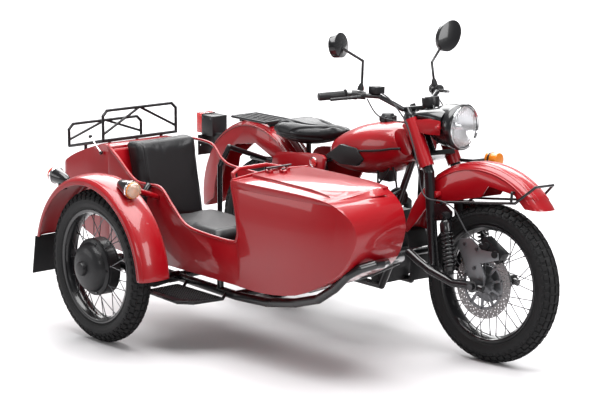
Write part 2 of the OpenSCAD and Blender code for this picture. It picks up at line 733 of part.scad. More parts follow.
// ---- fork and what turns with it ----
module fork_yokes() {
  color(black) steered() difference() {
    union() {
      rod(fork(14, 0, 0), fork(236, 0, 0), stem_d);
      for (t = [[30, 22], [212, 22]]) hull() for (y = [-leg_y, 0, leg_y])
        rod(fork(t[0], y == 0 ? 0 : fork_offset, y), fork(t[0] + t[1], y == 0 ? 0 : fork_offset, y), 62);
      both_sides() rod(fork(-12, 12, 60), fork(32, 12, 60), 34);
      rod(fork(-14, 0, 0), fork(16, 0, 0), 40);
      rod(fork(-34, 0, 0), fork(-12, 0, 0), 26);
    }
    both_sides() rod(fork(0, fork_offset, leg_y), fork(260, fork_offset, leg_y), leg_d + 2 * seat_gap);
    cross_bar(fork(-10, 12, 0).x, fork(-10, 12, 0).z, -90, 90, bar_d + 2 * seat_gap);
  }
}
leg_foot = [1249, leg_y, 372];
module leg_shape(grow) {
  rod(fork(22, fork_offset, leg_y), fork(300, fork_offset, leg_y), leg_d + grow);
  translate(fork(300, fork_offset, leg_y)) sphere(d = leg_d + 1 + grow);
  rod(fork(300, fork_offset, leg_y), leg_foot, leg_d + grow);
  cross_bar(leg_foot.x, leg_foot.z, leg_y - 26, leg_y + 26, 54 + grow);
}
shock_top = [1315, 122, 622];
module leg_plate(grow) {
  side_plate([[1212, 580], [1225, 660], [1290, 668], [1334, 640], [1334, 604], [1300, 598]],
    leg_y - 2 - grow, leg_y + 6 + grow);
}
module fork_legs() {
  color(black) steered() both_sides() {
    leg_shape(0);
    leg_plate(0);
    cross_bar(shock_top.x, shock_top.z, leg_y, leg_y + 50, 14);
  }
}
module fork_covers() {
  color(red) steered() both_sides() {
    difference() {
      union() {
        rod(fork(54, fork_offset, leg_y), fork(211, fork_offset, leg_y), cover_d);
        side_plate([xz(fork(58, 50, 0)), xz(fork(112, 50, 0)), [1190, 958], [1246, 962],
          [1246, 1022], [1190, 1028]], lamp_r + 2, lamp_r + 6);
        cross_bar(1236, 992, lamp_r - 8, lamp_r + 16, 20);
      }
      rod(fork(40, fork_offset, leg_y), fork(300, fork_offset, leg_y), leg_d + 2 * seat_gap);
      at_lamp() lamp_shell(seat_gap);
    }
    difference() {
      rod(fork(236, fork_offset, leg_y), fork(272, fork_offset, leg_y), cover_d);
      rod(fork(40, fork_offset, leg_y), fork(300, fork_offset, leg_y), leg_d + 2 * seat_gap);
      translate(fork(300, fork_offset, leg_y)) sphere(d = leg_d + 2);
    }
  }
}
arm_path = [[1124, 122, 432], [1180, 122, 402], [1249, 122, 372], [1380, 122, 338],
  [wheelbase, 122, tyre_r]];
module arm_shape(grow) {
  bent_tube(arm_path, 36 + grow);
}
module leading_arm() {
  color(black) steered() {
    difference() {
      union() {
        bent_tube([for (i = [4 : -1 : 0]) flip(arm_path[i]), each arm_path], 36);
        both_sides() {
          rod([wheelbase + 12, 122, tyre_r - 2], [wheelbase + 45, 122, tyre_r - 6], 30);
          cross_bar(wheelbase, tyre_r, 98, 144, 52);
        }
        cross_bar(wheelbase, tyre_r, -146, 146, axle_d);
      }
      both_sides() leg_shape(2 * seat_gap);
    }
  }
}
module front_shocks() {
  low = [1372, 124, 352];
  color(black) steered() both_sides() difference() {
    union() {
      rod(shock_top, low, 34);
      rod(shock_top + (low - shock_top) * 0.16, shock_top + (low - shock_top) * 0.84, 58);
      cross_bar(shock_top.x, shock_top.z, leg_y + 8, leg_y + 46, 34);
    }
    cross_bar(shock_top.x, shock_top.z, 0, 200, 14 + 2 * seat_gap);
    arm_shape(2 * seat_gap);
    leg_shape(2 * seat_gap);
    translate([1200, leg_y - 4, 560]) cube([200, 10 + seat_gap, 120]);
  }
}
front_guard_c = [1444, 0, 434];
front_guard_r = 431;
module front_fender() {
  color(red) steered() {
    guard(front_guard_c, front_guard_r, guard_w, 150, [[1000, 530], [1060, 506], [1110, 560],
      [1170, 640], [1250, 667], [1464, 720], [1500, 772], [1640, 752], [1700, 700], [1790, 700],
      [1790, 900], [1000, 900]]);
    // brackets to the legs
    both_sides() difference() {
      rod([1232, guard_w / 2 - 1, 700], [1226, leg_y, 700], 30);
      leg_shape(2 * seat_gap);
    }
  }
}
module fender_bar() {
  color(black) steered() {
    difference() {
      bent_tube([[1267, 95, 660], [1280, 108, 676], [1660, 84, 722], [1744, 60, 800],
        [1744, -60, 800], [1660, -84, 722], [1280, -108, 676], [1267, -95, 660]], 12);
      both_sides() leg_plate(seat_gap);
    }
    both_sides() bent_tube([[1640, guard_w / 2 + seat_gap, 764], [1640, 84, 764],
      [1640, 85.6, 720]], 12);
  }
}
module front_mud_flap() {
  color(rubber) steered() side_plate([[1024, 520], [1052, 508.8], [1094, 420], [1096, 292], [1088, 292],
    [1084, 418]], -66, 66);
}
lamp_c = [1290, 0, 997];
lamp_r = lamp_d / 2;
module at_lamp() {
  translate(lamp_c) rotate([0, 90, 0]) children();
}
module lamp_shell(grow) {
  rotate_extrude($fn = 72) polygon([each spline([[0, -172], [40, -168], [72, -140], [92, -90],
    [lamp_r - 2, -30]], 4) + [for (i = [0 : 16]) [grow, 0]], [lamp_r + grow, -24], [lamp_r + grow, 0],
    [lamp_r - 12, 6], [lamp_r - 12, -30], [0, -40]]);
}
module headlight() {
  color(black) steered() at_lamp() lamp_shell(0);
}
module headlight_lens() {
  color("white") steered() at_lamp() rotate_extrude($fn = 72) polygon([[0, -20],
    [lamp_r - 12 - seat_gap, -20], [lamp_r - 12 - seat_gap, -2], [50, 10], [0, 14]]);
}
gauge_c = [1104, 0, 1062];
module speedometer() {
  color(black) steered() {
    translate(gauge_c) rotate([0, -12, 0]) cylinder(d = 78, h = 46);
    rod(fork(30 - seat_gap, 58, 0), fork(2, 58, 0), 26);
  }
}
grip_in = [868, 285, 1108];
grip_out = [810, bar_span / 2, 1097];
bar_path = [fork(-10, 12, 0), fork(-10, 12, 90), [992, 125, 1072], [968, 195, 1106], grip_in, grip_out];
module handlebar() {
  path = [for (i = [5 : -1 : 1]) flip(bar_path[i]), for (i = [1 : 5]) bar_path[i]];
  color(black) steered() {
    for (i = [0 : len(path) - 2]) rod(path[i], path[i + 1], bar_d);
    // each bend's ball has its poles inside the bar
    for (i = [1 : len(path) - 2]) let (v = path[i + 1] - path[i])
      translate(path[i]) rotate([0, acos(v.z / norm(v)), atan2(v.y, v.x)]) sphere(d = bar_d + 0.8);
  }
}
module hand_controls() {
  along = grip_out - grip_in;
  inboard = (bar_path[3] - grip_in) / norm(bar_path[3] - grip_in);
  lever = [grip_in + inboard * 64, grip_in - along * 0.1 + [56, 0, -4],
    grip_in + along * 0.3 + [62, 0, -6], grip_in + along * 0.9 + [54, 0, -8]];
  color(rubber) steered() both_sides() difference() {
    union() {
      rod(grip_in + along * 0.11, grip_out + along * 0.04, 34);
      rod(grip_in + inboard * 14, grip_in + inboard * 38, 42);
      rod(grip_in + inboard * 30, grip_in + inboard * 76, 36);
      for (i = [0 : 2]) let (run = lever[i + 1] - lever[i], past = 5 * run / norm(run))
        rod(lever[i] - past, lever[i + 1] + past, 16 - 1.5 * i);
    }
    bent_tube(bar_path, bar_d + 2 * seat_gap);
  }
  // the brake fluid reservoir
  color(black) steered() translate([934, -228, bar_path[3].z + bar_d / 2 + seat_gap + 1]) cube([46, 54, 30]);
}
mirror_set = [
  [[[905.6, -251.2, 1126.8], [909, -246, 1165], [912, -250, 1258], [846, -345, 1322]], [0, -8, 20]],
  [[[905.6, 251.2, 1126.8], [895, 248, 1180], [882, 250, 1232], [905, 326, 1352]], [62, -4, -18]]];
module mirrors() {
  color(black) steered() for (m = mirror_set) {
    bent_tube(m[0], 12);
    translate(m[0][3]) rotate(m[1]) translate([-12, 0, 0]) rotate([90, 0, 90]) linear_extrude(30)
      polygon([for (a = [0 : 12 : 348]) [76 * cos(a), 55 * sin(a)]]);
  }
}
module turn_signal() {
  color("orange") steered() difference() {
    union() {
      rod([1262, leg_y + 10, 838], [1300, 165, 846], 14);
      rod([1296, 180, 848], [1356, 180, 848], 62);
      rod([1262, leg_y + 10, 838], [1168, leg_y, 834], 16);
    }
    rod(fork(40, fork_offset, leg_y), fork(300, fork_offset, leg_y), cover_d + 2 * seat_gap);
  }
}
caliper_c = [1545, -62.5, 497];
module brake_caliper() {
  color(grey) steered() difference() {
    union() {
      side_plate([[1478, 330], [1522, 330], [1530, 385], [1500, 440], [1600, 470], [1596, 500],
        [1500, 500], [1440, 540], [1380, 530], [1375, 495], [1430, 400], [1455, 345]], -94, -84);
      translate(caliper_c) rotate([0, 31, 0]) translate([-60, -27, -20]) cube([120, 50, 54]);
    }
    cross_bar(wheelbase, tyre_r, -200, 0, axle_d + 2 * seat_gap);
    at_wheel(front_hub + [0, disc_y - disc_t - 5, 0]) cylinder(d = disc_d + 12, h = disc_t + 10);
    cross_bar(wheelbase, tyre_r, -150, -97.5, 60);
  }
}
hose_path = [[986, -201, 1122], [1020, -180, 1095], [1085, -150, 1010], [1130, -142, 910],
  [1165, -140, 810], [1190, -142, 725], [1240, -155, 690], [1330, -165, 690], [1385, -150, 665],
  [1412, -128, 610], [1440, -108, 560], [1515, -94, 520]];
module brake_hose() {
  color(grey) steered() swept(spline(hose_path, 3), 9);
}

// ---- the whole machine stands in its own frame ----
box_front = 1850.7;
box_left = 398;
side_reach = track + cap_reach;
origin = [(tail_x + box_front) / 2, (box_left - side_reach) / 2, 0];
module placed() {
  translate(-origin) children();
}
placed() main_frame();
placed() engine_block();
placed() cylinders();
placed() air_box();
placed() exhausts();
placed() swingarm();
placed() rear_shocks();
placed() fuel_tank();
placed() filler_cap();
placed() knee_pads();
placed() saddle();
placed() side_covers();
placed() rear_fender();
placed() rear_rack();
placed() tail_light();
placed() foot_controls();
placed() sidecar_frame();
placed() sidecar_struts();
placed() sidecar_tub();
placed() sidecar_cowl();
placed() sidecar_trunk();
placed() seat_back();
placed() seat_cushion();
placed() grab_handle();
placed() sidecar_fender();
placed() sidecar_mud_flap();
placed() fender_lamps();
placed() sidecar_step();
placed() sidecar_arm();
placed() fork_yokes();
placed() fork_legs();
placed() fork_covers();
placed() leading_arm();
placed() front_shocks();
placed() front_fender();
placed() fender_bar();
placed() front_mud_flap();
placed() headlight();
placed() headlight_lens();
placed() speedometer();
placed() handlebar();
placed() hand_controls();
placed() mirrors();
placed() turn_signal();
placed() brake_caliper();
placed() brake_hose();
placed() steered() tyre(front_hub);  // front_tyre
placed() steered() front_wheel();
placed() steered() brake_disc();
placed() tyre(rear_hub);  // rear_tyre
placed() rear_wheel();
placed() tyre(side_hub);  // sidecar_tyre
placed() sidecar_wheel();
placed() trunk_lid();
placed() luggage_rack();
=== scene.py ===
"""A sidecar motorcycle: the looks of each piece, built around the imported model."""

import json
import math

import bmesh
import bpy
from mathutils import Matrix, Vector


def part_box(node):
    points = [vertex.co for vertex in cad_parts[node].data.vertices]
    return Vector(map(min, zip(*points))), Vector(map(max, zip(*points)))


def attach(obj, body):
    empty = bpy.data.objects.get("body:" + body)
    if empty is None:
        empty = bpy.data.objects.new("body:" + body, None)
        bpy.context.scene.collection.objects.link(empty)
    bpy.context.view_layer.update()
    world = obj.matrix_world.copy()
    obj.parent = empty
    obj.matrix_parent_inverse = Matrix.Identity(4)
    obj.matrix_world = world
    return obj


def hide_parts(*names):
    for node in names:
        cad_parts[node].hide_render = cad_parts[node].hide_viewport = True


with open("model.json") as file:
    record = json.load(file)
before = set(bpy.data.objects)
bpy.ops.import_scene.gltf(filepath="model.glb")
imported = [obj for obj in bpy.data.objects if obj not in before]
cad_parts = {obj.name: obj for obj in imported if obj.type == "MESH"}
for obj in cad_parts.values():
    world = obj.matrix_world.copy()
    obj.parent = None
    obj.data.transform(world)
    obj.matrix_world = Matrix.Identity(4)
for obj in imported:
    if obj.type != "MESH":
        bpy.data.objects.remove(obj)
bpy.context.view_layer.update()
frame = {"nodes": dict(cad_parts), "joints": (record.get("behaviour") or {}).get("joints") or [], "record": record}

# ---- studio ----
# A seamless pale floor under large soft boxes: one overhead, one beside the sidecar, one at
# the front wheel, a weaker one by the camera and a wide one that lights the floor far behind.
scene = bpy.context.scene
camera_data = bpy.data.cameras.new("camera")
camera_data.lens = 120
camera_data.sensor_width = 36
camera = bpy.data.objects.new("camera", camera_data)
camera.location = (6.76645, -5.5712, 2.3966)
camera.rotation_euler = (math.radians(78.611), 0, math.radians(50.264))
scene.collection.objects.link(camera)
scene.camera = camera


def soft_box(name, place, target, width, height, watts):
    light = bpy.data.lights.new(name, "AREA")
    light.shape = "RECTANGLE"
    light.size = width
    light.size_y = height
    light.energy = watts
    box = bpy.data.objects.new(name, light)
    box.location = place
    box.rotation_euler = (Vector(target) - Vector(place)).to_track_quat("-Z", "Y").to_euler()
    scene.collection.objects.link(box)


soft_box("overhead_box", (0.2, -0.3, 4.2), (0, -0.1, 0), 4.5, 3.2, 400)
soft_box("flank_box", (-3.6, -4.6, 1.9), (0.2, -0.4, 0.6), 3.4, 1.8, 55)
soft_box("front_box", (4.6, 0.8, 2.6), (0.6, 0, 0.6), 2.0, 2.4, 110)
soft_box("camera_box", (5.0, -5.6, 3.8), (0, 0, 0.4), 2.6, 1.8, 80)
soft_box("backdrop_box", (-10.5, 8.5, 8.0), (-10.5, 8.5, 0), 15, 15, 4800)


def preset(node, **values):
    """Sets a node's inputs by name, written with _ for a space."""
    for name, value in values.items():
        node.inputs[name.replace("_", " ")].default_value = value
    return node


scene.world = bpy.data.worlds.new("studio_air")
scene.world.use_nodes = True
preset(scene.world.node_tree.nodes["Background"], Color=(1, 1, 1, 1), Strength=0.26)
scene.view_settings.view_transform = "Standard"

paper = bpy.data.materials.new("floor_paper")
paper.use_nodes = True
preset(paper.node_tree.nodes["Principled BSDF"], Base_Color=(0.57, 0.56, 0.57, 1), Roughness=0.6)
floor_mesh = bpy.data.meshes.new("floor")
floor_mesh.from_pydata([(-30, -30, 0), (30, -30, 0), (30, 30, 0), (-30, 30, 0)], [], [(0, 1, 2, 3)])
floor_mesh.materials.append(paper)
floor = bpy.data.objects.new("floor", floor_mesh)
scene.collection.objects.link(floor)

# ---- sidecar body ----
# Pressed and welded steel shell in three parts: the tub, the nose cowl and the tail with its
# luggage box. Deep red gloss enamel; every cut edge is rolled over.


def wired(tree, *links):
    """Joins nodes, with each link as (node, its output, node, its input)."""
    for source, output, target, socket in links:
        tree.links.new(source.outputs[output], target.inputs[socket])


def relief(tree, kind, scale, output, strength, distance):
    """A texture on the object's own coordinates that works as a bump: the texture and its bump node."""
    texture = preset(tree.nodes.new(kind), Scale=scale)
    bump = preset(tree.nodes.new("ShaderNodeBump"), Strength=strength, Distance=distance)
    spot = tree.nodes["Texture Coordinate"]
    wired(tree, (spot, "Object", texture, "Vector"), (texture, output, bump, "Height"))
    return texture, bump


def finish_material(name, colour, rough, metal=0.0, coat=0.0, shift=0.0, grain=0.0, size=60.0):
    """An enamel, plastic, rubber or metal: its colour drifts a little and its skin has a fine grain."""
    material = bpy.data.materials.new(name)
    material.use_nodes = True
    tree = material.node_tree
    shader = preset(tree.nodes["Principled BSDF"], Metallic=metal, Coat_Weight=coat, Coat_Roughness=0.04,
        Specular_IOR_Level=0.3)
    spot = tree.nodes.new("ShaderNodeTexCoord")
    cloud = preset(tree.nodes.new("ShaderNodeTexNoise"), Scale=7.0, Detail=4.0)
    tint = tree.nodes.new("ShaderNodeMix")
    tint.data_type = "RGBA"
    preset(tint, A=(*[c * (1 - shift) for c in colour], 1), B=(*[min(1, c * (1 + shift)) for c in colour], 1))
    haze = preset(tree.nodes.new("ShaderNodeMapRange"), To_Min=rough * 0.85, To_Max=min(1, rough * 1.15))
    wired(tree, (spot, "Object", cloud, "Vector"), (cloud, "Fac", tint, "Factor"),
        (tint, "Result", shader, "Base Color"), (cloud, "Fac", haze, "Value"),
        (haze, "Result", shader, "Roughness"))
    if grain:
        speck, bump = relief(tree, "ShaderNodeTexNoise", size, "Fac", grain, 0.001)
        preset(speck, Detail=3.0)
        wired(tree, (bump, "Normal", shader, "Normal"))
    return material


red_enamel = finish_material("red_enamel", (0.26, 0.0008, 0.0045), 0.34, coat=0.55, shift=0.05)


def shaded(mesh, angle=32):
    """Soft shading that still breaks at edges sharper than the angle."""
    mesh.polygons.foreach_set("use_smooth", [True] * len(mesh.polygons))
    mesh.set_sharp_from_angle(angle=math.radians(angle))
    return mesh


def taken(form, name, *materials):
    """The mesh of a finished form, with its materials."""
    mesh = bpy.data.meshes.new(name)
    form.to_mesh(mesh)
    form.free()
    for material in materials:
        mesh.materials.append(material)
    return mesh


def staged(mesh):
    """A scratch object that carries a mesh through its modifiers."""
    work = bpy.data.objects.new("work", mesh)
    scene.collection.objects.link(work)
    return work


def plain_mesh(obj, name):
    """The evaluated object as a plain mesh, with its modifiers gone."""
    bpy.context.view_layer.update()
    result = bpy.data.meshes.new_from_object(obj.evaluated_get(bpy.context.evaluated_depsgraph_get()))
    result.name = name
    bpy.data.objects.remove(obj)
    return result


def dressed(node, material, edge=0.0, angle=32):
    """The CAD piece with its corners rounded over by edge and its curves shaded smooth."""
    mesh = frame["nodes"][node].data.copy()
    mesh.materials.clear()
    mesh.materials.append(material)
    form = bmesh.new()
    form.from_mesh(mesh)
    bmesh.ops.remove_doubles(form, verts=form.verts, dist=2e-5)
    bmesh.ops.dissolve_limit(form, angle_limit=math.radians(0.7), verts=form.verts, edges=form.edges)
    form.to_mesh(mesh)
    form.free()
    if "custom_normal" in mesh.attributes:
        mesh.attributes.remove(mesh.attributes["custom_normal"])
    if edge:
        work = staged(mesh)
        bevel = work.modifiers.new("rounded", "BEVEL")
        bevel.limit_method = "ANGLE"
        bevel.angle_limit = math.radians(angle)
        bevel.width = edge
        bevel.segments = 2
        bevel.use_clamp_overlap = True
        mesh = plain_mesh(work, node)
    return shaded(mesh, angle + 6)


def placed(name, mesh, body, slot, *nodes):
    """A finished piece rides on its body and stands for its CAD nodes."""
    piece = bpy.data.objects.new(name, mesh)
    scene.collection.objects.link(piece)
    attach(piece, body)
    if nodes:
        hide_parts(*nodes)
    return piece


for shell in ("sidecar_tub", "sidecar_cowl", "sidecar_trunk"):
    placed(shell + "_shell", dressed(shell, red_enamel, 0.0045), "chassis", "red_paint", shell)
placed("trunk_lid_skin", dressed("trunk_lid", red_enamel, 0.002), "lid", "red_paint", "trunk_lid")

# ---- tyres ----
# Moulded rubber: a smooth carcass with fine rings on the walls, and five rows of tread
# blocks around the crown. One pitch of the tread is repeated all the way round.
tread_pitches = 54
carcass = finish_material("tyre_wall_rubber", (0.006, 0.006, 0.0065), 0.58, shift=0.25, grain=0.25, size=420)
tread_rubber = finish_material("tread_rubber", (0.0045, 0.0045, 0.005), 0.72, shift=0.3, grain=0.5, size=300)


def repeat_tree(material, straight=False):
    """Geometry Nodes that repeat a shape: each copy is turned by one more step, or moved by one if straight."""
    tree = bpy.data.node_groups.new("repeat_in_steps", "GeometryNodeTree")
    for label, way, kind in (
            ("Shape", "INPUT", "Geometry"), ("Count", "INPUT", "Int"), ("Step", "INPUT", "Vector"),
            ("Result", "OUTPUT", "Geometry")):
        tree.interface.new_socket(label, in_out=way, socket_type="NodeSocket" + kind)
    given, dots, index, steps, copies, real, coat, out = [tree.nodes.new(kind) for kind in (
        "NodeGroupInput", "GeometryNodePoints", "GeometryNodeInputIndex", "ShaderNodeVectorMath",
        "GeometryNodeInstanceOnPoints", "GeometryNodeRealizeInstances", "GeometryNodeSetMaterial",
        "NodeGroupOutput")]
    steps.operation = "SCALE"
    preset(coat, Material=material)
    wired(tree,
        (given, "Count", dots, "Count"), (given, "Step", steps, "Vector"), (index, "Index", steps, "Scale"),
        (steps, "Vector", dots if straight else copies, "Position" if straight else "Rotation"),
        (dots, "Points", copies, "Points"), (given, "Shape", copies, "Instance"),
        (copies, "Instances", real, "Geometry"), (real, "Geometry", coat, "Geometry"),
        (coat, "Geometry", out, "Result"))
    return tree


def grown(mesh, tree, **sizes):
    """The mesh that a tree makes from this one, with its named inputs set first."""
    work = staged(mesh)
    nodes = work.modifiers.new("nodes", "NODES")
    nodes.node_group = tree
    for item in tree.interface.items_tree:
        if item.name.lower() in sizes:
            nodes[item.identifier] = sizes[item.name.lower()]
    return plain_mesh(work, mesh.name)


def round_axle(mesh, count, material):
    """count copies of a mesh, evenly spaced about the Y axis."""
    return grown(mesh, repeat_tree(material), count=count, step=(0, 2 * math.pi / count, 0))


def lathed(name, outline, material, steps=96):
    """A closed ring turned about the Y axis from (y, radius) points."""
    points = []
    faces = []
    n = len(outline)
    for i in range(steps):
        a = 2 * math.pi * i / steps
        points += [(r * math.cos(a), y, r * math.sin(a)) for y, r in outline]
        for j in range(n):
            k = (j + 1) % n
            p = (i + 1) % steps
            faces.append((i * n + j, i * n + k, p * n + k, p * n + j))
    mesh = bpy.data.meshes.new(name)
    mesh.from_pydata(points, [], faces)
    form = bmesh.new()
    form.from_mesh(mesh)
    bmesh.ops.remove_doubles(form, verts=form.verts, dist=1e-6)
    bmesh.ops.recalc_face_normals(form, faces=form.faces)
    form.to_mesh(mesh)
    form.free()
    mesh.materials.append(material)
    return shaded(mesh, 40)


def blocks(name, bricks, material):
    """Slightly tapered bricks, each of them (centre, half sizes, tilt about the run of the tread)."""
    form = bmesh.new()
    for centre, half, tilt in bricks:
        corners = []
        for z, k in ((-1, 1.0), (0.6, 1.0), (1, 0.82)):
            for x, y in ((-1, -1), (1, -1), (1, 1), (-1, 1)):
                p = Vector((x * half[0] * k, y * half[1] * k, z * half[2]))
                corners.append(form.verts.new(Matrix.Rotation(tilt, 3, "X") @ p + Vector(centre)))
        for ring in (0, 4):
            for i in range(4):
                j = (i + 1) % 4
                form.faces.new([corners[ring + k] for k in (i, j, j + 4, i + 4)])
        form.faces.new(corners[8:12])
        form.faces.new(list(reversed(corners[0:4])))
    return taken(form, name, material)


def merged(name, *meshes):
    """Several meshes, with their own materials, as one."""
    form = bmesh.new()
    materials = []
    for mesh in meshes:
        first = len(form.faces)
        form.from_mesh(mesh)
        form.faces.ensure_lookup_table()
        for face in form.faces[first:]:
            own = mesh.materials[face.material_index]
            if own not in materials:
                materials.append(own)
            face.material_index = materials.index(own)
    return taken(form, name, *materials)


def moved(name, matrix, *meshes):
    """Several meshes as one, put in place by a matrix."""
    result = merged(name, *meshes)
    result.transform(matrix)
    return result


def hub_frame(tyre, joint):
    """The matrix that puts a wheel made around the Y axis onto its real axle."""
    low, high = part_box(tyre)
    axle = Vector(next(j["axis"] for j in frame["joints"] if j["name"] == joint))
    turn = Vector((0, 1, 0)).rotation_difference(axle).to_matrix().to_4x4()
    return Matrix.Translation((low + high) / 2) @ turn


hubs = {
    "front": hub_frame("front_tyre", "front_wheel_spin"),
    "rear": hub_frame("rear_tyre", "rear_wheel_spin"),
    "sidecar": hub_frame("sidecar_tyre", "sidecar_wheel_spin"),
}
tyre_low, tyre_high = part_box("rear_tyre")
tyre_r = (tyre_high.z - tyre_low.z) / 2
section_r = (tyre_high.y - tyre_low.y) / 2
section_c = tyre_r - section_r
bead_y = 0.031
bead_r = 0.2465
wall_inset = 0.0035
crown_drop = 0.0025  # how much lower the wall lies under the tread
ring_height = 0.0012
block_h = 0.0042


def tyre_outline():
    """Half sections of the wall: bead, rim ring, two fine rings and a crown below the tread."""
    side = [(bead_y, bead_r), (bead_y + 0.002, bead_r + 0.01), (0.041, 0.262), (0.0435, 0.2655)]
    for degree in range(-30, 96, 6):
        a = math.radians(degree)
        r = section_r - wall_inset - (crown_drop if degree > 24 else 0)
        r += ring_height if degree in (-6, 12) else 0
        side.append((r * math.cos(a), section_c + r * math.sin(a)))
    side[-1] = (0, side[-1][1])
    return side + [(-y, r) for y, r in reversed(side[:-1])]


def tread_pitch():
    """The blocks of one step of the tread: a centre pair, two middle blocks and two shoulder lugs."""
    step = 2 * math.pi * tyre_r / tread_pitches
    top = section_r - block_h
    bricks = []
    for degree, reach, width, offset in (
            (90, 0.40, 0.0075, 0.0), (62, 0.36, 0.0085, 0.5), (118, 0.36, 0.0085, 0.0),
            (37, 0.33, 0.0095, 0.0), (143, 0.33, 0.0095, 0.5), (16, 0.26, 0.006, 0.25),
            (164, 0.26, 0.006, 0.75)):
        a = math.radians(degree)
        place = (step * (offset - 0.25), top * math.cos(a), section_c + top * math.sin(a))
        bricks.append((place, (step * reach, width, block_h), a - math.pi / 2))
    return blocks("tread_pitch", bricks, tread_rubber)


def tyre_mesh(name):
    wall = lathed(name, tyre_outline(), carcass, 120)
    tread = shaded(round_axle(tread_pitch(), tread_pitches, tread_rubber), 30)
    return merged(name, wall, tread)


for end in ("front", "rear", "sidecar"):
    rubber_ring = tyre_mesh(end + "_tyre_tread")
    rubber_ring.transform(hubs[end])
    placed(end + "_tyre_tread", shaded(rubber_ring, 35), end + "_wheel_set", "tyre_rubber", end + "_tyre")

# ---- wheels ----
# Black enamelled rims laced with dark steel spokes in crossed pairs, each ending in a
# nipple. The rear and sidecar hubs carry drums; the front one a drilled rotor.
gloss_black = finish_material("gloss_black", (0.005, 0.005, 0.006), 0.28, coat=0.6, shift=0.3)
satin_black = finish_material("satin_black", (0.007, 0.007, 0.008), 0.45, coat=0.15, shift=0.3, grain=0.12,
    size=500)
spoke_steel = finish_material("spoke_steel", (0.10, 0.10, 0.105), 0.32, metal=1.0, shift=0.05)
rotor_steel = finish_material("rotor_steel", (0.27, 0.26, 0.26), 0.36, metal=1.0, shift=0.08, grain=0.25,
    size=700)
cast_grey = finish_material("cast_alloy", (0.22, 0.225, 0.235), 0.42, metal=0.9, shift=0.1, grain=0.35,
    size=260)
rim_outline = [
    (0.038, 0.256), (0.0365, 0.2572), (0.034, 0.2545), (0.032, 0.2475), (0.024, 0.2465), (0.012, 0.2375),
    (-0.012, 0.2375), (-0.024, 0.2465), (-0.032, 0.2475), (-0.034, 0.2545), (-0.0365, 0.2572), (-0.038, 0.256),
    (-0.0375, 0.2495), (-0.0345, 0.243), (-0.025, 0.2395), (-0.014, 0.2305), (0.014, 0.2305), (0.025, 0.2395),
    (0.0345, 0.243), (0.0375, 0.2495)]


def tube(name, points, radius, material, sides=8):
    """A round bar through the points, closed at both ends."""
    form = bmesh.new()
    rings = []
    side = Vector((0.31, 0.87, 0.39))
    for i, point in enumerate(points):
        ahead = (Vector(points[min(i + 1, len(points) - 1)]) - Vector(points[max(i - 1, 0)])).normalized()
        side = (side - ahead * side.dot(ahead)).normalized()
        other = ahead.cross(side)
        thick = radius[i] if isinstance(radius, (list, tuple)) else radius
        rings.append([form.verts.new(Vector(point) + thick * (
            side * math.cos(2 * math.pi * k / sides) + other * math.sin(2 * math.pi * k / sides)))
            for k in range(sides)])
    for a, b in zip(rings, rings[1:]):
        for k in range(sides):
            m = (k + 1) % sides
            form.faces.new((a[k], a[m], b[m], b[k]))
    form.faces.new(list(reversed(rings[0])))
    form.faces.new(rings[-1])
    return shaded(taken(form, name, material), 45)


spoke_count = 36
nipple_r = 0.233


def spoke_group(flange_r, y_out, y_in, lace):
    """Four spokes of one lacing group, with their nipples at the rim."""
    parts = []
    for i in range(4):
        rim_a = 2 * math.pi * i / spoke_count
        hub_a = rim_a + math.radians(lace if i < 2 else -lace)
        hub_y = (y_out, y_in)[i % 2]
        rim_y = (0.006, -0.006)[i % 2] if y_out > y_in else (-0.006, 0.006)[i % 2]
        start = (flange_r * math.cos(hub_a), hub_y, flange_r * math.sin(hub_a))
        end = (nipple_r * math.cos(rim_a), rim_y, nipple_r * math.sin(rim_a))
        near = Vector(start).lerp(Vector(end), 0.9)
        parts.append(tube("spoke", [start, end], 0.0020, spoke_steel, 6))
        parts.append(tube("nipple", [near, end], 0.0031, spoke_steel, 6))
    return merged("spokes", *parts)


def bolt_heads(count, r, y, size, thick, material, turn=0.0):
    """A ring of six-sided bolt heads on a face that looks along Y."""
    centre = Vector((r * math.cos(turn), 0, r * math.sin(turn)))
    head = tube("bolt", [centre + Vector((0, y, 0)), centre + Vector((0, y + thick, 0))], size, material, 6)
    return round_axle(head, count, material)


def rim_mesh():
    return lathed("rim", rim_outline, gloss_black, 120)


def laced_wheel(end, *parts):
    """A rim with its hub, spokes and bolts, on its axle."""
    name = end + "_wheel_laced"
    placed(name, moved(name, hubs[end], rim_mesh(), *parts), end + "_wheel_set", "black_paint", end + "_wheel")


rotor_outline = [(-0.060, 0.1475), (-0.065, 0.1475), (-0.065, 0.1), (-0.060, 0.1)]
rotor = lathed("rotor", rotor_outline, rotor_steel, 96)
drill_places = ((0.106, 0.0), (0.114, 0.09), (0.123, 0.02), (0.132, 0.11), (0.141, 0.05))  # radius, angle
drills = [tube("drill", [(r * math.cos(a), y, r * math.sin(a)) for y in (-0.08, -0.05)], 0.0038, rotor_steel,
    10) for r, a in drill_places]
drill_ring = round_axle(merged("drills", *drills), 32, rotor_steel)
rotor_work = staged(rotor)
drill_work = staged(drill_ring)
drilling = rotor_work.modifiers.new("drilling", "BOOLEAN")
drilling.operation = "DIFFERENCE"
drilling.object = drill_work
rotor = shaded(plain_mesh(rotor_work, "rotor"), 40)
bpy.data.objects.remove(drill_work)
web = blocks("web", [((0, -0.0625, 0.071), (0.006, 0.0035, 0.036), 0.0)], cast_grey)
webs = round_axle(web, 10, cast_grey)
web_rings = [lathed("web_ring", [(-0.066, r), (-0.059, r), (-0.059, r - w), (-0.066, r - w)], cast_grey, 64)
    for r, w in ((0.108, 0.011), (0.052, 0.016))]
rotor_bolts = bolt_heads(10, 0.1025, -0.0665, 0.0042, -0.004, spoke_steel, 0.31)
placed("drilled_disc", moved("drilled_disc", hubs["front"], rotor, webs, *web_rings, rotor_bolts),
    "front_wheel_set", "bright_steel", "brake_disc")

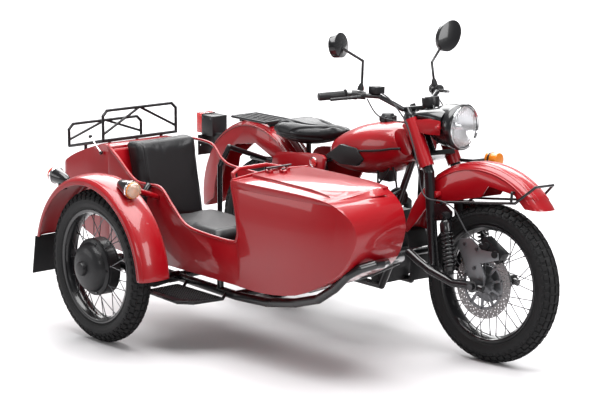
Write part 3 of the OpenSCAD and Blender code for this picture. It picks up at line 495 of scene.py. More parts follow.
front_hub = lathed("front_hub", [
    (-0.0595, 0.0102), (-0.0595, 0.05), (-0.05, 0.05), (-0.044, 0.034), (-0.036, 0.034), (-0.034, 0.078),
    (-0.028, 0.078), (-0.024, 0.034), (0.024, 0.03), (0.028, 0.078), (0.034, 0.078), (0.036, 0.034),
    (0.055, 0.034), (0.055, 0.0102)], cast_grey, 72)
front_spokes = round_axle(spoke_group(0.074, -0.031, 0.031, 36), spoke_count // 4, spoke_steel)
laced_wheel("front", front_hub, front_spokes)

rear_hub = lathed("rear_hub", [
    (-0.05, 0.0102), (-0.05, 0.06), (-0.036, 0.06), (-0.034, 0.118), (-0.031, 0.1245), (0.031, 0.1245),
    (0.034, 0.118), (0.036, 0.06), (0.05, 0.06), (0.05, 0.0102)], satin_black, 96)
rear_spokes = round_axle(spoke_group(0.1205, -0.030, 0.030, 12), spoke_count // 4, spoke_steel)
rear_bolts = bolt_heads(8, 0.075, 0.034, 0.007, 0.006, spoke_steel)
laced_wheel("rear", rear_hub, rear_spokes, rear_bolts)

side_hub = lathed("sidecar_hub", [
    (0.045, 0.0102), (0.045, 0.06), (0.022, 0.06), (0.016, 0.1285), (0.010, 0.1285), (0.009, 0.126),
    (0.006, 0.126), (0.005, 0.1285), (-0.034, 0.1285), (-0.0355, 0.1265), (-0.038, 0.1265), (-0.0395, 0.1285),
    (-0.046, 0.1275), (-0.050, 0.121), (-0.0535, 0.112), (-0.060, 0.1095), (-0.074, 0.104), (-0.084, 0.092),
    (-0.0905, 0.078), (-0.095, 0.058), (-0.0975, 0.041), (-0.0995, 0.033), (-0.112, 0.0315), (-0.117, 0.029),
    (-0.1195, 0.02), (-0.12, 0.001), (-0.115, 0.001), (-0.062, 0.0102)], satin_black, 96)
side_spokes = round_axle(spoke_group(0.1245, -0.040, 0.010, 12), spoke_count // 4, spoke_steel)
side_bolts = bolt_heads(5, 0.117, -0.0505, 0.0055, -0.005, spoke_steel)
laced_wheel("sidecar", side_hub, side_spokes, side_bolts)

# ---- sidecar seat ----
# A foam back and cushion in black grained vinyl. Each starts a little small, is blown up as
# cloth so that its faces crown, and then gets the sewn lines pressed into it.
axle_height = 0.345
bike_frame = hubs["rear"] @ Matrix.Translation((0, 0, -axle_height))


def skin_material(name, colour, rough, cell, depth, fold):
    """A grained cover: fine cells for the leather print and slow folds under them."""
    material = finish_material(name, colour, rough, shift=0.2)
    tree = material.node_tree
    cells, grain = relief(tree, "ShaderNodeTexVoronoi", cell, "Distance", depth, 0.0008)
    cells.feature = "DISTANCE_TO_EDGE"
    slack = relief(tree, "ShaderNodeTexNoise", 9.0, "Fac", fold, 0.01)[1]
    wired(tree, (slack, "Normal", grain, "Normal"), (grain, "Normal", tree.nodes["Principled BSDF"], "Normal"))
    return material


seat_vinyl = skin_material("seat_vinyl", (0.008, 0.008, 0.009), 0.46, 420.0, 0.35, 0.10)


def round_box(name, size, corner, segments, *materials):
    """A box around its own centre with its edges rounded over."""
    form = bmesh.new()
    bmesh.ops.create_cube(form, size=1.0)
    for v in form.verts:
        v.co = Vector((v.co.x * size[0], v.co.y * size[1], v.co.z * size[2]))
    bmesh.ops.bevel(form, geom=form.edges, offset=corner, segments=segments, profile=0.5, affect="EDGES")
    return taken(form, name, *materials)


cloth_frames = 20


def stuffed(mesh, voxel, pressure, most, material):
    """The mesh blown up as cloth, with no point moved further than most."""
    work = staged(mesh)
    remesh = work.modifiers.new("even", "REMESH")
    remesh.mode = "VOXEL"
    remesh.voxel_size = voxel
    even = plain_mesh(work, mesh.name)
    start = [v.co.copy() for v in even.vertices]
    work = staged(even.copy())
    cloth = work.modifiers.new("cloth", "CLOTH")
    cloth.settings.use_pressure = True
    cloth.settings.uniform_pressure_force = pressure
    cloth.settings.effector_weights.gravity = 0
    for frame_number in range(1, cloth_frames + 1):
        scene.frame_set(frame_number)
    blown = plain_mesh(work, mesh.name)
    for v, old, new in zip(even.vertices, start, blown.vertices):
        move = new.co - old
        if move.length > most:
            move *= most / move.length
        v.co = old + move
    scene.frame_set(1)
    work = staged(even)
    finer = work.modifiers.new("finer", "SUBSURF")
    finer.levels = 1
    finer.render_levels = 1
    result = plain_mesh(work, mesh.name)
    result.materials.clear()
    result.materials.append(material)
    result.polygons.foreach_set("use_smooth", [True] * len(result.polygons))
    return result


def pressed(mesh, depth, width, distance):
    """Sews a channel: points nearer than width to the line sink by up to depth along their normals."""
    normals = [n.vector.copy() for n in mesh.vertex_normals]
    for v, n in zip(mesh.vertices, normals):
        d = distance(v.co)
        if d < width:
            v.co -= n * depth * (0.5 + 0.5 * math.cos(math.pi * d / width))


back_low, back_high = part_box("seat_back")
back_t = 0.072
back_h = back_high.z - back_low.z
slant = Matrix(((1, 0, -0.2586, 0), (0, 1, 0, 0), (0, 0, 1, 0), (0, 0, 0, 1)))
back_w = back_high.y - back_low.y
back_flare = 0.04  # how much thicker the squab is at its head
corner_run = 0.075  # how far its round top corners reach
corner_r = 0.064
back = round_box("seat_back_pad", (back_t - 0.022, back_w - 0.022, back_h - 0.014), 0.021, 4)
for v in back.vertices:
    if v.co.x > 0:
        v.co.x += back_flare * (v.co.z / back_h + 0.5)
    up = max(0.0, v.co.z - (back_h / 2 - corner_run))
    side = max(0.0, abs(v.co.y) - (back_w / 2 - corner_run))
    if up and side and math.hypot(up, side) > corner_r:
        pull = corner_r / math.hypot(up, side)
        v.co.z -= up * (1 - pull)
        v.co.y -= math.copysign(side * (1 - pull), v.co.y)
back = stuffed(back, 0.009, 3.0, 0.012, seat_vinyl)
pressed(back, 0.004, 0.007, lambda p: abs(p.y + back_w / 2 - 0.068) if p.x > 0 else 1)
pressed(back, 0.0022, 0.005, lambda p: abs(p.x + 0.004))
back.transform(Matrix.Translation((back_low + back_high) / 2) @ slant)
seat_back = placed("seat_back_pad", back, "chassis", "seat_vinyl", "seat_back")

cushion_low, cushion_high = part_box("seat_cushion")
cushion_size = cushion_high - cushion_low
cushion = round_box("seat_cushion_pad",
    (cushion_size.x - 0.016, cushion_size.y - 0.018, cushion_size.z - 0.012), 0.026, 4)
cushion = stuffed(cushion, 0.01, 3.0, 0.012, seat_vinyl)
pressed(cushion, 0.004, 0.008, lambda p: abs(p.x - cushion_size.x / 2 + 0.06) if p.z > 0 else 1)
pressed(cushion, 0.0022, 0.006, lambda p: abs(p.z - 0.016))
cushion.transform(Matrix.Translation((cushion_low + cushion_high) / 2))
seat_cushion = placed("seat_cushion_pad", cushion, "chassis", "seat_vinyl", "seat_cushion")

# ---- saddle ----
# The rider's saddle: moulded foam under black leathercloth, broad at the back and narrow at
# the tank, with sewn pleats that curve in from the rear corners, on a black steel post.
saddle_leather = skin_material("saddle_leather", (0.007, 0.007, 0.008), 0.34, 330.0, 0.45, 0.2)
post_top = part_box("saddle")[0].z + 0.115
saddle_stations = [
    (0.118, 0.848, 0.868, 0.30), (0.135, 0.832, 0.886, 0.66), (0.165, 0.822, 0.902, 0.90),
    (0.21, 0.814, 0.910, 1.0), (0.27, 0.808, 0.908, 1.0), (0.33, 0.808, 0.902, 0.94),
    (0.39, 0.816, 0.898, 0.76), (0.44, 0.830, 0.897, 0.56), (0.49, 0.848, 0.900, 0.42),
    (0.53, 0.864, 0.901, 0.34), (0.557, 0.877, 0.896, 0.2)]


def ringed(name, stations, half, power, material, sides=40):
    """A closed skin over flattened rings, one at each station (x, bottom, top, share of the half width)."""
    form = bmesh.new()
    rings = []
    for x, low, high, share in stations:
        ring = []
        for k in range(sides):
            a = 2 * math.pi * k / sides
            c, s = math.cos(a), math.sin(a)
            y = share * half * math.copysign(abs(c) ** (2 / power), c)
            z = (low + high) / 2 + (high - low) / 2 * math.copysign(abs(s) ** (2 / power), s)
            ring.append(form.verts.new((x, y, z)))
        rings.append(ring)
    for a, b in zip(rings, rings[1:]):
        for k in range(sides):
            m = (k + 1) % sides
            form.faces.new((a[k], b[k], b[m], a[m]))
    form.faces.new(rings[0])
    form.faces.new(list(reversed(rings[-1])))
    bmesh.ops.recalc_face_normals(form, faces=form.faces)
    return taken(form, name, material)


saddle = stuffed(ringed("saddle_cover", saddle_stations, 0.134, 2.6, saddle_leather), 0.008, 1.5, 0.006,
    saddle_leather)


def pleat(start, end, bow):
    """Distance in plan from a bowed line between two points."""
    def away(p):
        t = max(0.0, min(1.0, (p.x - start[0]) / (end[0] - start[0])))
        y = start[1] + (end[1] - start[1]) * t + bow * math.sin(math.pi * t)
        outside = max(start[0] - p.x, p.x - end[0], 0) + (0.1 if p.z < 0.866 else 0)
        return abs(abs(p.y) - y) + outside
    return away


pressed(saddle, 0.010, 0.014, pleat((0.14, 0.105), (0.46, 0.0), 0.012))
pressed(saddle, 0.008, 0.012, pleat((0.125, 0.035), (0.36, 0.04), 0.03))
pressed(saddle, 0.005, 0.010, lambda p: abs(p.z - 0.846) if p.x < 0.45 else 1)
pressed(saddle, 0.007, 0.012, pleat((0.30, 0.125), (0.545, 0.012), -0.02))
dip_x = 0.30  # the seat is lowest here
dip_spread = 0.09
dip_depth = 0.010
dip_above = 0.86
for v in saddle.vertices:
    dip = math.exp(-((v.co.x - dip_x) / dip_spread) ** 2)
    if v.co.z > dip_above:
        v.co.z -= dip_depth * dip * math.exp(-(v.co.y / dip_spread) ** 2)
saddle.transform(bike_frame)
saddle_pad = placed("saddle_cover", saddle, "chassis", "saddle_cover", "saddle")
post = dressed("saddle", gloss_black)
form = bmesh.new()
form.from_mesh(post)
foam_faces = [f for f in form.faces if f.calc_center_median().z > post_top]
bmesh.ops.delete(form, geom=foam_faces, context="FACES")
bmesh.ops.holes_fill(form, edges=form.edges)
form.to_mesh(post)
form.free()
placed("saddle_post", post, "chassis", "black_paint")

# ---- mudguards ----
# Deep steel guards in the body's red. Every free edge is rolled over a wire, and two shallow
# beads are pressed along each crown, so they catch a thin line of light.
steering_joint = next(j for j in frame["joints"] if j["name"] == "steering")
pivot = Vector(steering_joint["pos_m"])
turned = math.radians(7)  # how far the handlebar stands to one side at rest
fork_frame = (Matrix.Translation(pivot) @ Matrix.Rotation(turned, 4, Vector(steering_joint["axis"]))
    @ Matrix.Translation(-pivot) @ bike_frame)


def arc(centre, r, y, start, end, steps=48):
    """Points on an arc in the XZ plane, with its angles measured up from the +X direction."""
    angles = [math.radians(start + (end - start) * i / steps) for i in range(steps + 1)]
    return [(centre[0] + r * math.cos(a), y, centre[1] + r * math.sin(a)) for a in angles]


def guard_trim(centre, y, half, edge_r, crown_r, span, ribs, base):
    """Rolled edges on both sides and pressed beads along the crown, each bead (offset, drop)."""
    parts = []
    for s in (-1, 1):
        parts.append(tube("edge", arc(centre, edge_r, y + s * (half - 0.002), *span), 0.0042, red_enamel, 10))
        for offset, drop in ribs:
            bead = arc(centre, crown_r - drop, y + s * offset, *span)
            parts.append(tube("bead", bead, 0.0040, red_enamel, 8))
    return moved("trim", base, *parts)


for end, body, base, centre, y, half, edge_r, crown_r, span, ribs in (
        ("sidecar", "chassis", bike_frame, (0.146, 0.323), -1.1, 0.08, 0.396, 0.436, (5, 165),
            ((0.066, 0.0150),)),
        ("rear", "chassis", bike_frame, (-0.074, 0.45), 0, 0.068, 0.392, 0.414, (38, 140),
            ((0.022, 0.0032), (0.043, 0.0085))),
        ("front", "fork", fork_frame, (1.444, 0.434), 0, 0.068, 0.399, 0.431, (46, 126),
            ((0.030, 0.0052), (0.046, 0.0100)))):
    trim = guard_trim(centre, y, half, edge_r, crown_r, span, ribs, base)
    placed(end + "_guard", merged(end + "_guard", dressed(end + "_fender", red_enamel, 0.0015), trim), body,
        "red_paint", end + "_fender")
flap_rubber = finish_material("flap_rubber", (0.008, 0.008, 0.009), 0.62, shift=0.3, grain=0.4, size=240)
placed("sidecar_flap", dressed("sidecar_mud_flap", flap_rubber, 0.002), "chassis", "black_rubber",
    "sidecar_mud_flap")
placed("front_flap", dressed("front_mud_flap", flap_rubber, 0.002), "fork", "black_rubber", "front_mud_flap")

# ---- cockpit edge, grab rail and clamps ----
# The cut edge of the cockpit is rolled round a wire, which shows as a fat red bead. A bent
# rail crosses the nose cowl behind two screwed clamps that hold it down.


def smooth_line(points, steps=6):
    """A smooth curve through the points."""
    line = []
    knots = [Vector(p) for p in points]
    for i in range(len(knots) - 1):
        a, b, c, d = knots[max(i - 1, 0)], knots[i], knots[i + 1], knots[min(i + 2, len(knots) - 1)]
        for k in range(steps):
            t = k / steps
            line.append(0.5 * (2 * b + (c - a) * t + (2 * a - 5 * b + 4 * c - d) * t * t
                + (3 * b - a - 3 * c + d) * t ** 3))
    return line + [knots[-1]]


near_edge = [(-0.150, 0.822), (-0.128, 0.806), (-0.06, 0.765), (0.057, 0.69), (0.15, 0.682), (0.258, 0.682),
    (0.35, 0.61), (0.435, 0.548), (0.537, 0.529), (0.766, 0.524), (0.812, 0.545), (0.818, 0.60), (0.80, 0.69),
    (0.781, 0.762), (0.779, 0.790)]
far_edge = [(-0.128, 0.812), (0.04, 0.804), (0.125, 0.742), (0.226, 0.719), (0.56, 0.713), (0.72, 0.718),
    (0.74, 0.74), (0.741, 0.789)]
edges = [tube("edge", smooth_line([(x, -0.846, z) for x, z in near_edge]), 0.0075, red_enamel, 12),
    tube("edge", smooth_line([(x, -0.394, z) for x, z in far_edge]), 0.0065, red_enamel, 12),
    tube("edge", smooth_line([(0.779, -0.846, 0.793), (0.742, -0.62, 0.801), (0.741, -0.394, 0.793)]), 0.007,
        red_enamel, 12)]
placed("cockpit_edge", moved("cockpit_edge", bike_frame, *edges), "chassis", "red_paint")
placed("grab_rail", dressed("grab_handle", red_enamel, 0.0, 50), "chassis", "red_paint", "grab_handle")
clamps = []
for x, y in ((0.800, -0.66), (0.796, -0.56), (0.835, -0.61)):
    foot = round_box("clamp", (0.034, 0.022, 0.016), 0.004, 2, red_enamel)
    foot.transform(Matrix.Translation((x, y, 0.812)))
    clamps += [foot, tube("screw", [(x, y, 0.818), (x, y, 0.826)], 0.007, spoke_steel, 12)]
clamps.append(tube("latch_pin", [(0.806, -0.68, 0.829), (0.802, -0.54, 0.829)], 0.0045, spoke_steel, 10))
placed("cowl_clamps", shaded(moved("cowl_clamps", bike_frame, *clamps), 35), "chassis", "red_paint")

# ---- sidecar lamps ----
# A black bullet housing on a foot on the guard's crown, a bright bezel and a moulded lens: a
# pale one with an amber band at the front, an amber one with a red band at the back.


def lens_material(name, colour, clear, rough=0.12, coat=0.8, shift=0.1, bands="X", scale=55.0, depth=0.5):
    """Moulded plastic or glass that lets light through, with ribs on its inner face."""
    material = finish_material(name, colour, rough, coat=coat, shift=shift)
    tree = material.node_tree
    shader = preset(tree.nodes["Principled BSDF"], Transmission_Weight=clear)
    ribs, bump = relief(tree, "ShaderNodeTexWave", scale, "Fac", depth, 0.002)
    ribs.bands_direction = bands
    wired(tree, (bump, "Normal", shader, "Normal"))
    return material


amber_lens = lens_material("amber_lens", (0.95, 0.27, 0.01), 0.35)
red_lens = lens_material("red_lens", (0.75, 0.01, 0.01), 0.3)
pale_lens = lens_material("pale_lens", (0.95, 0.85, 0.70), 0.7)
chrome = finish_material("chrome", (0.85, 0.85, 0.86), 0.07, metal=1.0, shift=0.03)


def aimed(mesh, start, direction, base=Matrix()):
    """A turned shape moved so that its Y axis runs from start along direction."""
    turn = Vector((0, 1, 0)).rotation_difference(Vector(direction)).to_matrix().to_4x4()
    mesh.transform(base @ Matrix.Translation(start) @ turn)
    return mesh


def bullet_lamp(tail, direction, front, back, foot):
    """A lamp whose pointed tail rests on the guard: its housing, bezel, lens, band and foot."""
    size = 1.2
    tail_run = 0.058  # from the housing's tip to its middle, before it is sized
    parts = [
        lathed("housing", [(-0.058, 0.0), (-0.057, 0.010), (-0.045, 0.018), (-0.01, 0.026), (0.018, 0.031),
            (0.022, 0.031), (0.022, 0.028), (-0.04, 0.015), (-0.045, 0.0)], gloss_black, 40),
        lathed("bezel", [(0.018, 0.0318), (0.021, 0.0342), (0.025, 0.0342), (0.027, 0.032), (0.026, 0.0285),
            (0.018, 0.0285)], chrome, 40),
        lathed("lens", [(0.024, 0.0), (0.024, 0.0305), (0.034, 0.0305), (0.045, 0.0268), (0.050, 0.018),
            (0.051, 0.0)], front, 40),
        lathed("band", [(0.030, 0.0), (0.030, 0.0312), (0.036, 0.0312), (0.036, 0.0)], back, 40)]
    lamp = merged("lamp", *parts)
    lamp.transform(Matrix.Diagonal((size, size, size, 1)))
    start = Vector(tail) + Vector(direction) * tail_run * size
    aimed(lamp, start, direction, bike_frame)
    stem = tube("stem", [Vector(foot[0]), Vector(foot[1])], [0.0205, 0.0195], gloss_black, 24)
    stem.transform(bike_frame)
    return merged("lamp", lamp, stem)


lamp_parts = [
    bullet_lamp((0.300, -1.1, 0.742), (0.9877, 0, -0.1564), pale_lens, amber_lens,
        ((0.3665, -1.1, 0.689), (0.372, -1.1, 0.726))),
    bullet_lamp((-0.105, -1.1, 0.693), (-0.9945, 0, 0.1045), amber_lens, red_lens,
        ((-0.148, -1.1, 0.645), (-0.160, -1.1, 0.697)))]
placed("sidecar_lamps", merged("sidecar_lamps", *lamp_parts), "chassis", "lamp_amber", "fender_lamps")

# ---- tail lamp and plate bracket ----
# A moulded box bolted to the rear guard, with a square red lens and a bent steel bracket that
# takes a number plate on two bolts.


def repainted(mesh, material, here):
    """Gives the faces whose centres pass the test another finish."""
    mesh.materials.append(material)
    for face in mesh.polygons:
        if here(face.center):
            face.material_index = len(mesh.materials) - 1
    return mesh


tail_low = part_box("tail_light")[0]
lens_depth = 0.043
tail_box = repainted(dressed("tail_light", satin_black, 0.003), red_lens,
    lambda p: p.x < tail_low.x + lens_depth)
tail_bolts = [tube("bolt", [(x, -0.047, z), (x, -0.0435, z)], 0.0055, spoke_steel, 12)
    for x, z in ((-0.488, 0.755), (-0.488, 0.829), (-0.425, 0.829))]
placed("tail_lamp", merged("tail_lamp", tail_box, moved("tail_bolts", bike_frame, *tail_bolts)), "chassis",
    "black_plastic", "tail_light")

# ---- fuel tank ----
# Welded teardrop tank in red, with a rubber knee pad and a rubber strip on each side, and a
# lugged screw cap on top.
placed("tank_skin", dressed("fuel_tank", red_enamel, 0.002, 38), "chassis", "red_paint", "fuel_tank")
pad_rubber = finish_material("pad_rubber", (0.009, 0.009, 0.010), 0.5, shift=0.2, grain=0.3, size=350)
strip_points = [(0.79, 0.1505, 0.846), (0.83, 0.1535, 0.850), (0.90, 0.1535, 0.860), (0.95, 0.149, 0.868),
    (1.0, 0.134, 0.879), (1.04, 0.112, 0.884)]
pads = [dressed("knee_pads", pad_rubber, 0.005)]
for s in (-1, 1):
    strip = tube("strip", smooth_line([(x, y * s, z) for x, y, z in strip_points]), 0.0052, pad_rubber, 10)
    strip.transform(bike_frame)
    pads.append(strip)
    knob = lathed("knob", [(-0.004, 0), (-0.004, 0.016), (0.006, 0.018), (0.012, 0.014), (0.013, 0)],
        pad_rubber, 24)
    pads.append(aimed(knob, (0.770, s * 0.145, 0.800), (0, s, 0), bike_frame))
placed("knee_rubber", merged("knee_rubber", *pads), "chassis", "black_rubber", "knee_pads")
cap = lathed("cap", [(0.9676, 0), (0.9676, 0.036), (0.972, 0.038), (0.976, 0.036), (0.990, 0.033),
    (0.993, 0.030), (1.002, 0.027), (1.005, 0.024), (1.005, 0)], satin_black, 48)
lug = round_box("lug", (0.012, 0.024, 0.012), 0.003, 2, satin_black)
lug.transform(Matrix.Translation((0.034, 0.983, 0)))
cap = aimed(merged("cap", cap, round_axle(lug, 6, satin_black)), (0.834, 0, 0), (0, 0, 1), bike_frame)
placed("lugged_cap", shaded(cap, 35), "chassis", "black_plastic", "filler_cap")

# ---- frame, engine and running gear ----
# Black enamelled tube frame around a flat-twin engine: a dark crankcase with two finned alloy
# cylinders, two carburettors, bright exhausts, a swing arm and sprung dampers. A coil box, a
# relay, the horn and their leads fill the space between the crankcase and the tank.
engine_black = finish_material("engine_black", (0.012, 0.012, 0.013), 0.5, metal=0.2, shift=0.25, grain=0.3,
    size=240)
exhaust_chrome = finish_material("exhaust_chrome", (0.70, 0.68, 0.66), 0.16, metal=1.0, shift=0.12)


def finish_rows(body, *rows):
    """CAD pieces that need no more than a finish and rounded corners: (node, finish, edge) each."""
    slots = {p["node"]: p["material_slot"] for p in frame["record"]["subparts"]}
    for node, finish, edge in rows:
        placed(node + "_finished", dressed(node, finish, edge), body, slots[node], node)


finish_rows("chassis",
    ("main_frame", gloss_black, 0), ("swingarm", gloss_black, 0.002), ("rear_rack", satin_black, 0),
    ("foot_controls", satin_black, 0.0015), ("sidecar_frame", gloss_black, 0), ("air_box", satin_black, 0.004),
    ("sidecar_struts", gloss_black, 0), ("sidecar_arm", gloss_black, 0.002),
    ("engine_block", engine_black, 0.005), ("cylinders", cast_grey, 0.0015),
    ("exhausts", exhaust_chrome, 0.001))
placed("side_panels", dressed("side_covers", red_enamel, 0.003), "chassis", "red_paint", "side_covers")
clutter = []
for label, size, corner, place in (
        ("coil_box", (0.075, 0.05, 0.06), 0.008, (0.905, -0.062, 0.745)),
        ("relay", (0.05, 0.04, 0.045), 0.006, (0.86, 0.055, 0.765))):
    clutter.append(round_box(label, size, corner, 2, satin_black))
    clutter[-1].transform(Matrix.Translation(place))
horn = lathed("horn", [(-0.020, 0.0), (-0.020, 0.018), (-0.008, 0.034), (0.0, 0.044), (0.006, 0.046),
    (0.006, 0.040), (0.002, 0.036), (0.002, 0.0)], gloss_black, 40)
clutter.append(aimed(horn, (0.985, -0.075, 0.655), (0.85, -0.5, -0.1)))
for run in ([(0.905, -0.062, 0.77), (0.96, -0.09, 0.80), (0.985, -0.085, 0.72), (0.975, -0.072, 0.66)],
        [(0.86, -0.11, 0.60), (0.90, -0.12, 0.70), (0.88, -0.09, 0.80), (0.94, -0.06, 0.86)],
        [(0.80, -0.12, 0.55), (0.86, -0.13, 0.66), (0.93, -0.11, 0.74), (0.97, -0.08, 0.84)]):
    clutter.append(tube("lead", smooth_line(run, 8), 0.0045, satin_black, 8))
for s in (-1, 1):
    carburettor = lathed("carburettor", [(-0.045, 0.0), (-0.045, 0.026), (-0.01, 0.028), (-0.005, 0.036),
        (0.02, 0.036), (0.025, 0.026), (0.05, 0.024), (0.05, 0.0)], satin_black, 28)
    clutter.append(aimed(carburettor, (0.70, s * 0.155, 0.535), (0, 0, 1)))
placed("coil_and_horn", shaded(moved("coil_and_horn", bike_frame, *clutter), 40), "chassis", "black_plastic")
reflex = lathed("reflex", [(0, 0), (0, 0.021), (0.004, 0.021), (0.006, 0.018), (0.007, 0)], red_lens, 32)
rim_ring = lathed("ring", [(0, 0.021), (0, 0.024), (0.006, 0.024), (0.007, 0.021)], chrome, 32)
reflectors = merged("reflectors", *[aimed(merged("reflex", reflex.copy(), rim_ring.copy()),
    (0.473, s * 0.130, 0.747), (0, s, 0), bike_frame) for s in (-1, 1)])
placed("reflectors", reflectors, "chassis", "lamp_amber")


def coil_spring(start, end, radius, wire, turns, material):
    """A helical spring between two points."""
    run = Vector(end) - Vector(start)
    side = run.cross(Vector((0, 1, 0.2))).normalized()
    other = run.normalized().cross(side)
    per_turn = 14
    points = [Vector(start) + run * (i / (turns * per_turn)) + radius * (
        side * math.cos(2 * math.pi * i / per_turn) + other * math.sin(2 * math.pi * i / per_turn))
        for i in range(turns * per_turn + 1)]
    return tube("coil", points, wire, material, 8)


rear_units = []
for s in (-1, 1):
    low, mid, high, top = [Vector((x, s * y, z)) for x, y, z in (
        (0.062, 0.1375, 0.378), (0.075, 0.132, 0.43), (0.110, 0.120, 0.64), (0.1175, 0.117, 0.70))]
    rear_units += [tube("rod", [low, mid, high, top], 0.015, gloss_black, 20),
        coil_spring(mid, high, 0.026, 0.0046, 9, gloss_black),
        tube("cup", [mid.lerp(low, 0.15), mid.lerp(high, 0.04)], 0.031, satin_black, 28),
        tube("cup", [high.lerp(mid, 0.25), high.lerp(top, 0.1)], 0.0305, satin_black, 28)]
placed("rear_dampers", moved("rear_dampers", bike_frame, *rear_units), "chassis", "black_paint", "rear_shocks")

# ---- luggage rack and step ----
# Bent round bar in satin black over the luggage box; the step beside the cockpit is an
# expanded-steel tread in a bent tube.
placed("box_rack", dressed("luggage_rack", satin_black, 0), "lid", "black_paint", "luggage_rack")
stay_ends = (Vector((-0.265, -0.868, 0.850)), Vector((-0.186, -0.863, 0.783)))
stay_ball = [(-0.008, 0), (-0.006, 0.007), (0, 0.010), (0.006, 0.007), (0.008, 0)]
balls = [aimed(lathed("ball", stay_ball, gloss_black, 20), end, stay_ends[1] - stay_ends[0])
    for end in stay_ends]
stay = moved("lid_stay", bike_frame, tube("stay", stay_ends, 0.003, chrome, 12), *balls)
placed("lid_stay", stay, "chassis", "black_paint")
step_frame = dressed("sidecar_step", gloss_black, 0.001)
bars = []
tread_x = (0.308, 0.628)
tread_y = (-0.955, -0.80)
tread_cut = 1.545  # its outer corner is cut off where x - y reaches this
for i in range(-12, 26):
    for way in (-1, 1):
        start = Vector((0.312 + 0.0145 * i, -0.80, 0.2425))
        end = start + Vector((0.155 * way, -0.155, 0))
        inside = [p for p in (start.lerp(end, k / 24) for k in range(25))
            if tread_x[0] < p.x < tread_x[1] and tread_y[0] < p.y < tread_y[1] and p.x - p.y < tread_cut]
        if len(inside) > 2:
            bars.append(tube("bar", [inside[0], inside[-1]], 0.0021, satin_black, 5))
placed("step_tread", merged("step_tread", step_frame, moved("tread", bike_frame, *bars)), "chassis",
    "black_paint", "sidecar_step")

# ---- fork ----
# Leading-link fork: black legs under red covers and sleeves, a loop-shaped swinging arm, and
# two sprung dampers. The yokes, the covers and the lamp turn with the handlebar.
finish_rows("fork",
    ("fork_yokes", gloss_black, 0.002), ("fork_legs", gloss_black, 0.001), ("fork_covers", red_enamel, 0.0012),
    ("leading_arm", gloss_black, 0), ("fender_bar", gloss_black, 0))
sleeves = []
for s in (-1, 1):
    ends = [Vector((1.0459 + 0.4848 * t, s * 0.095, 1.0549 - 0.8746 * t)) for t in (0.050, 0.274)]
    sleeves.append(tube("sleeve", ends, 0.0333, red_enamel, 48))
placed("fork_sleeves", shaded(moved("fork_sleeves", fork_frame, *sleeves), 40), "fork", "red_paint")
front_units = []
for s in (-1, 1):
    high, low = Vector((1.315, s * 0.122, 0.622)), Vector((1.372, s * 0.124, 0.352))
    eye = lathed("eye", [(-0.017, 0.0075), (-0.017, 0.017), (0.017, 0.017), (0.017, 0.0075)], satin_black, 28)
    front_units += [tube("rod", [high, low.lerp(high, 0.09)], 0.0135, gloss_black, 20),
        coil_spring(high.lerp(low, 0.2), high.lerp(low, 0.82), 0.0235, 0.0046, 10, gloss_black),
        tube("shroud", [high.lerp(low, 0.07), high.lerp(low, 0.12), high.lerp(low, 0.24)],
            [0.018, 0.027, 0.0275], gloss_black, 28),
        tube("cup", [high.lerp(low, 0.8), high.lerp(low, 0.86)], [0.028, 0.022], gloss_black, 28),
        aimed(eye, high, (0, 1, 0)),
        *[tube("nut", [(x, s * y, z), (x, s * (y + out), z)], r, spoke_steel, 6) for x, y, z, out, r in (
            (1.315, 0.139, 0.622, 0.009, 0.011), (1.249, 0.121, 0.372, 0.009, 0.013),
            (1.5, 0.146, 0.345, 0.008, 0.014))]]
placed("front_dampers", moved("front_dampers", fork_frame, *front_units), "fork", "black_paint", "front_shocks")

# ---- front brake ----
# A four-pot caliper on a cast alloy torque plate that swings with the arm, fed by a hose that
# drops from the handlebar in front of the right leg cover.
caliper_black = finish_material("caliper_black", (0.012, 0.012, 0.013), 0.38, metal=0.4, shift=0.2, grain=0.3,
    size=300)
back_again = fork_frame.inverted()
block_frame = (fork_frame @ Matrix.Translation((1.545, -0.0625, 0.497))
    @ Matrix.Rotation(math.radians(31), 4, "Y")).inverted()
block_half = 0.062
block_z = (-0.022, 0.036)
caliper = repainted(dressed("brake_caliper", cast_grey, 0.003), caliper_black,
    lambda p: abs((block_frame @ p).x) < block_half and block_z[0] < (block_frame @ p).z < block_z[1])
brake_bolts = [tube("bolt", [(x, -0.1005, z), (x, -0.0935, z)], 0.0085, spoke_steel, 6)
    for x, z in ((1.470, 0.415), (1.412, 0.512), (1.478, 0.500))]
pots = [tube("pot", [(x, -0.0995, z), (x, -0.088, z)], [0.015, 0.017], caliper_black, 24)
    for x, z in ((1.526, 0.520), (1.576, 0.490))]
brake_set = moved("brake_set", fork_frame, *brake_bolts, *pots)
placed("front_brake", merged("front_brake", caliper, brake_set), "fork", "cast_alloy", "brake_caliper")
hose_grey = finish_material("hose_grey", (0.045, 0.045, 0.048), 0.5, shift=0.2, grain=0.5, size=900)
hose_points = [(0.986, -0.201, 1.122), (1.020, -0.180, 1.095), (1.085, -0.150, 1.010), (1.130, -0.142, 0.910),
    (1.165, -0.140, 0.810), (1.190, -0.142, 0.725), (1.240, -0.155, 0.690), (1.330, -0.165, 0.690),
    (1.385, -0.150, 0.665), (1.412, -0.128, 0.610), (1.440, -0.108, 0.560), (1.515, -0.094, 0.520)]
hose = tube("brake_line", smooth_line(hose_points, 8), 0.0032, hose_grey, 12)
hose.transform(fork_frame)
placed("brake_line", hose, "fork", "brake_line", "brake_hose")

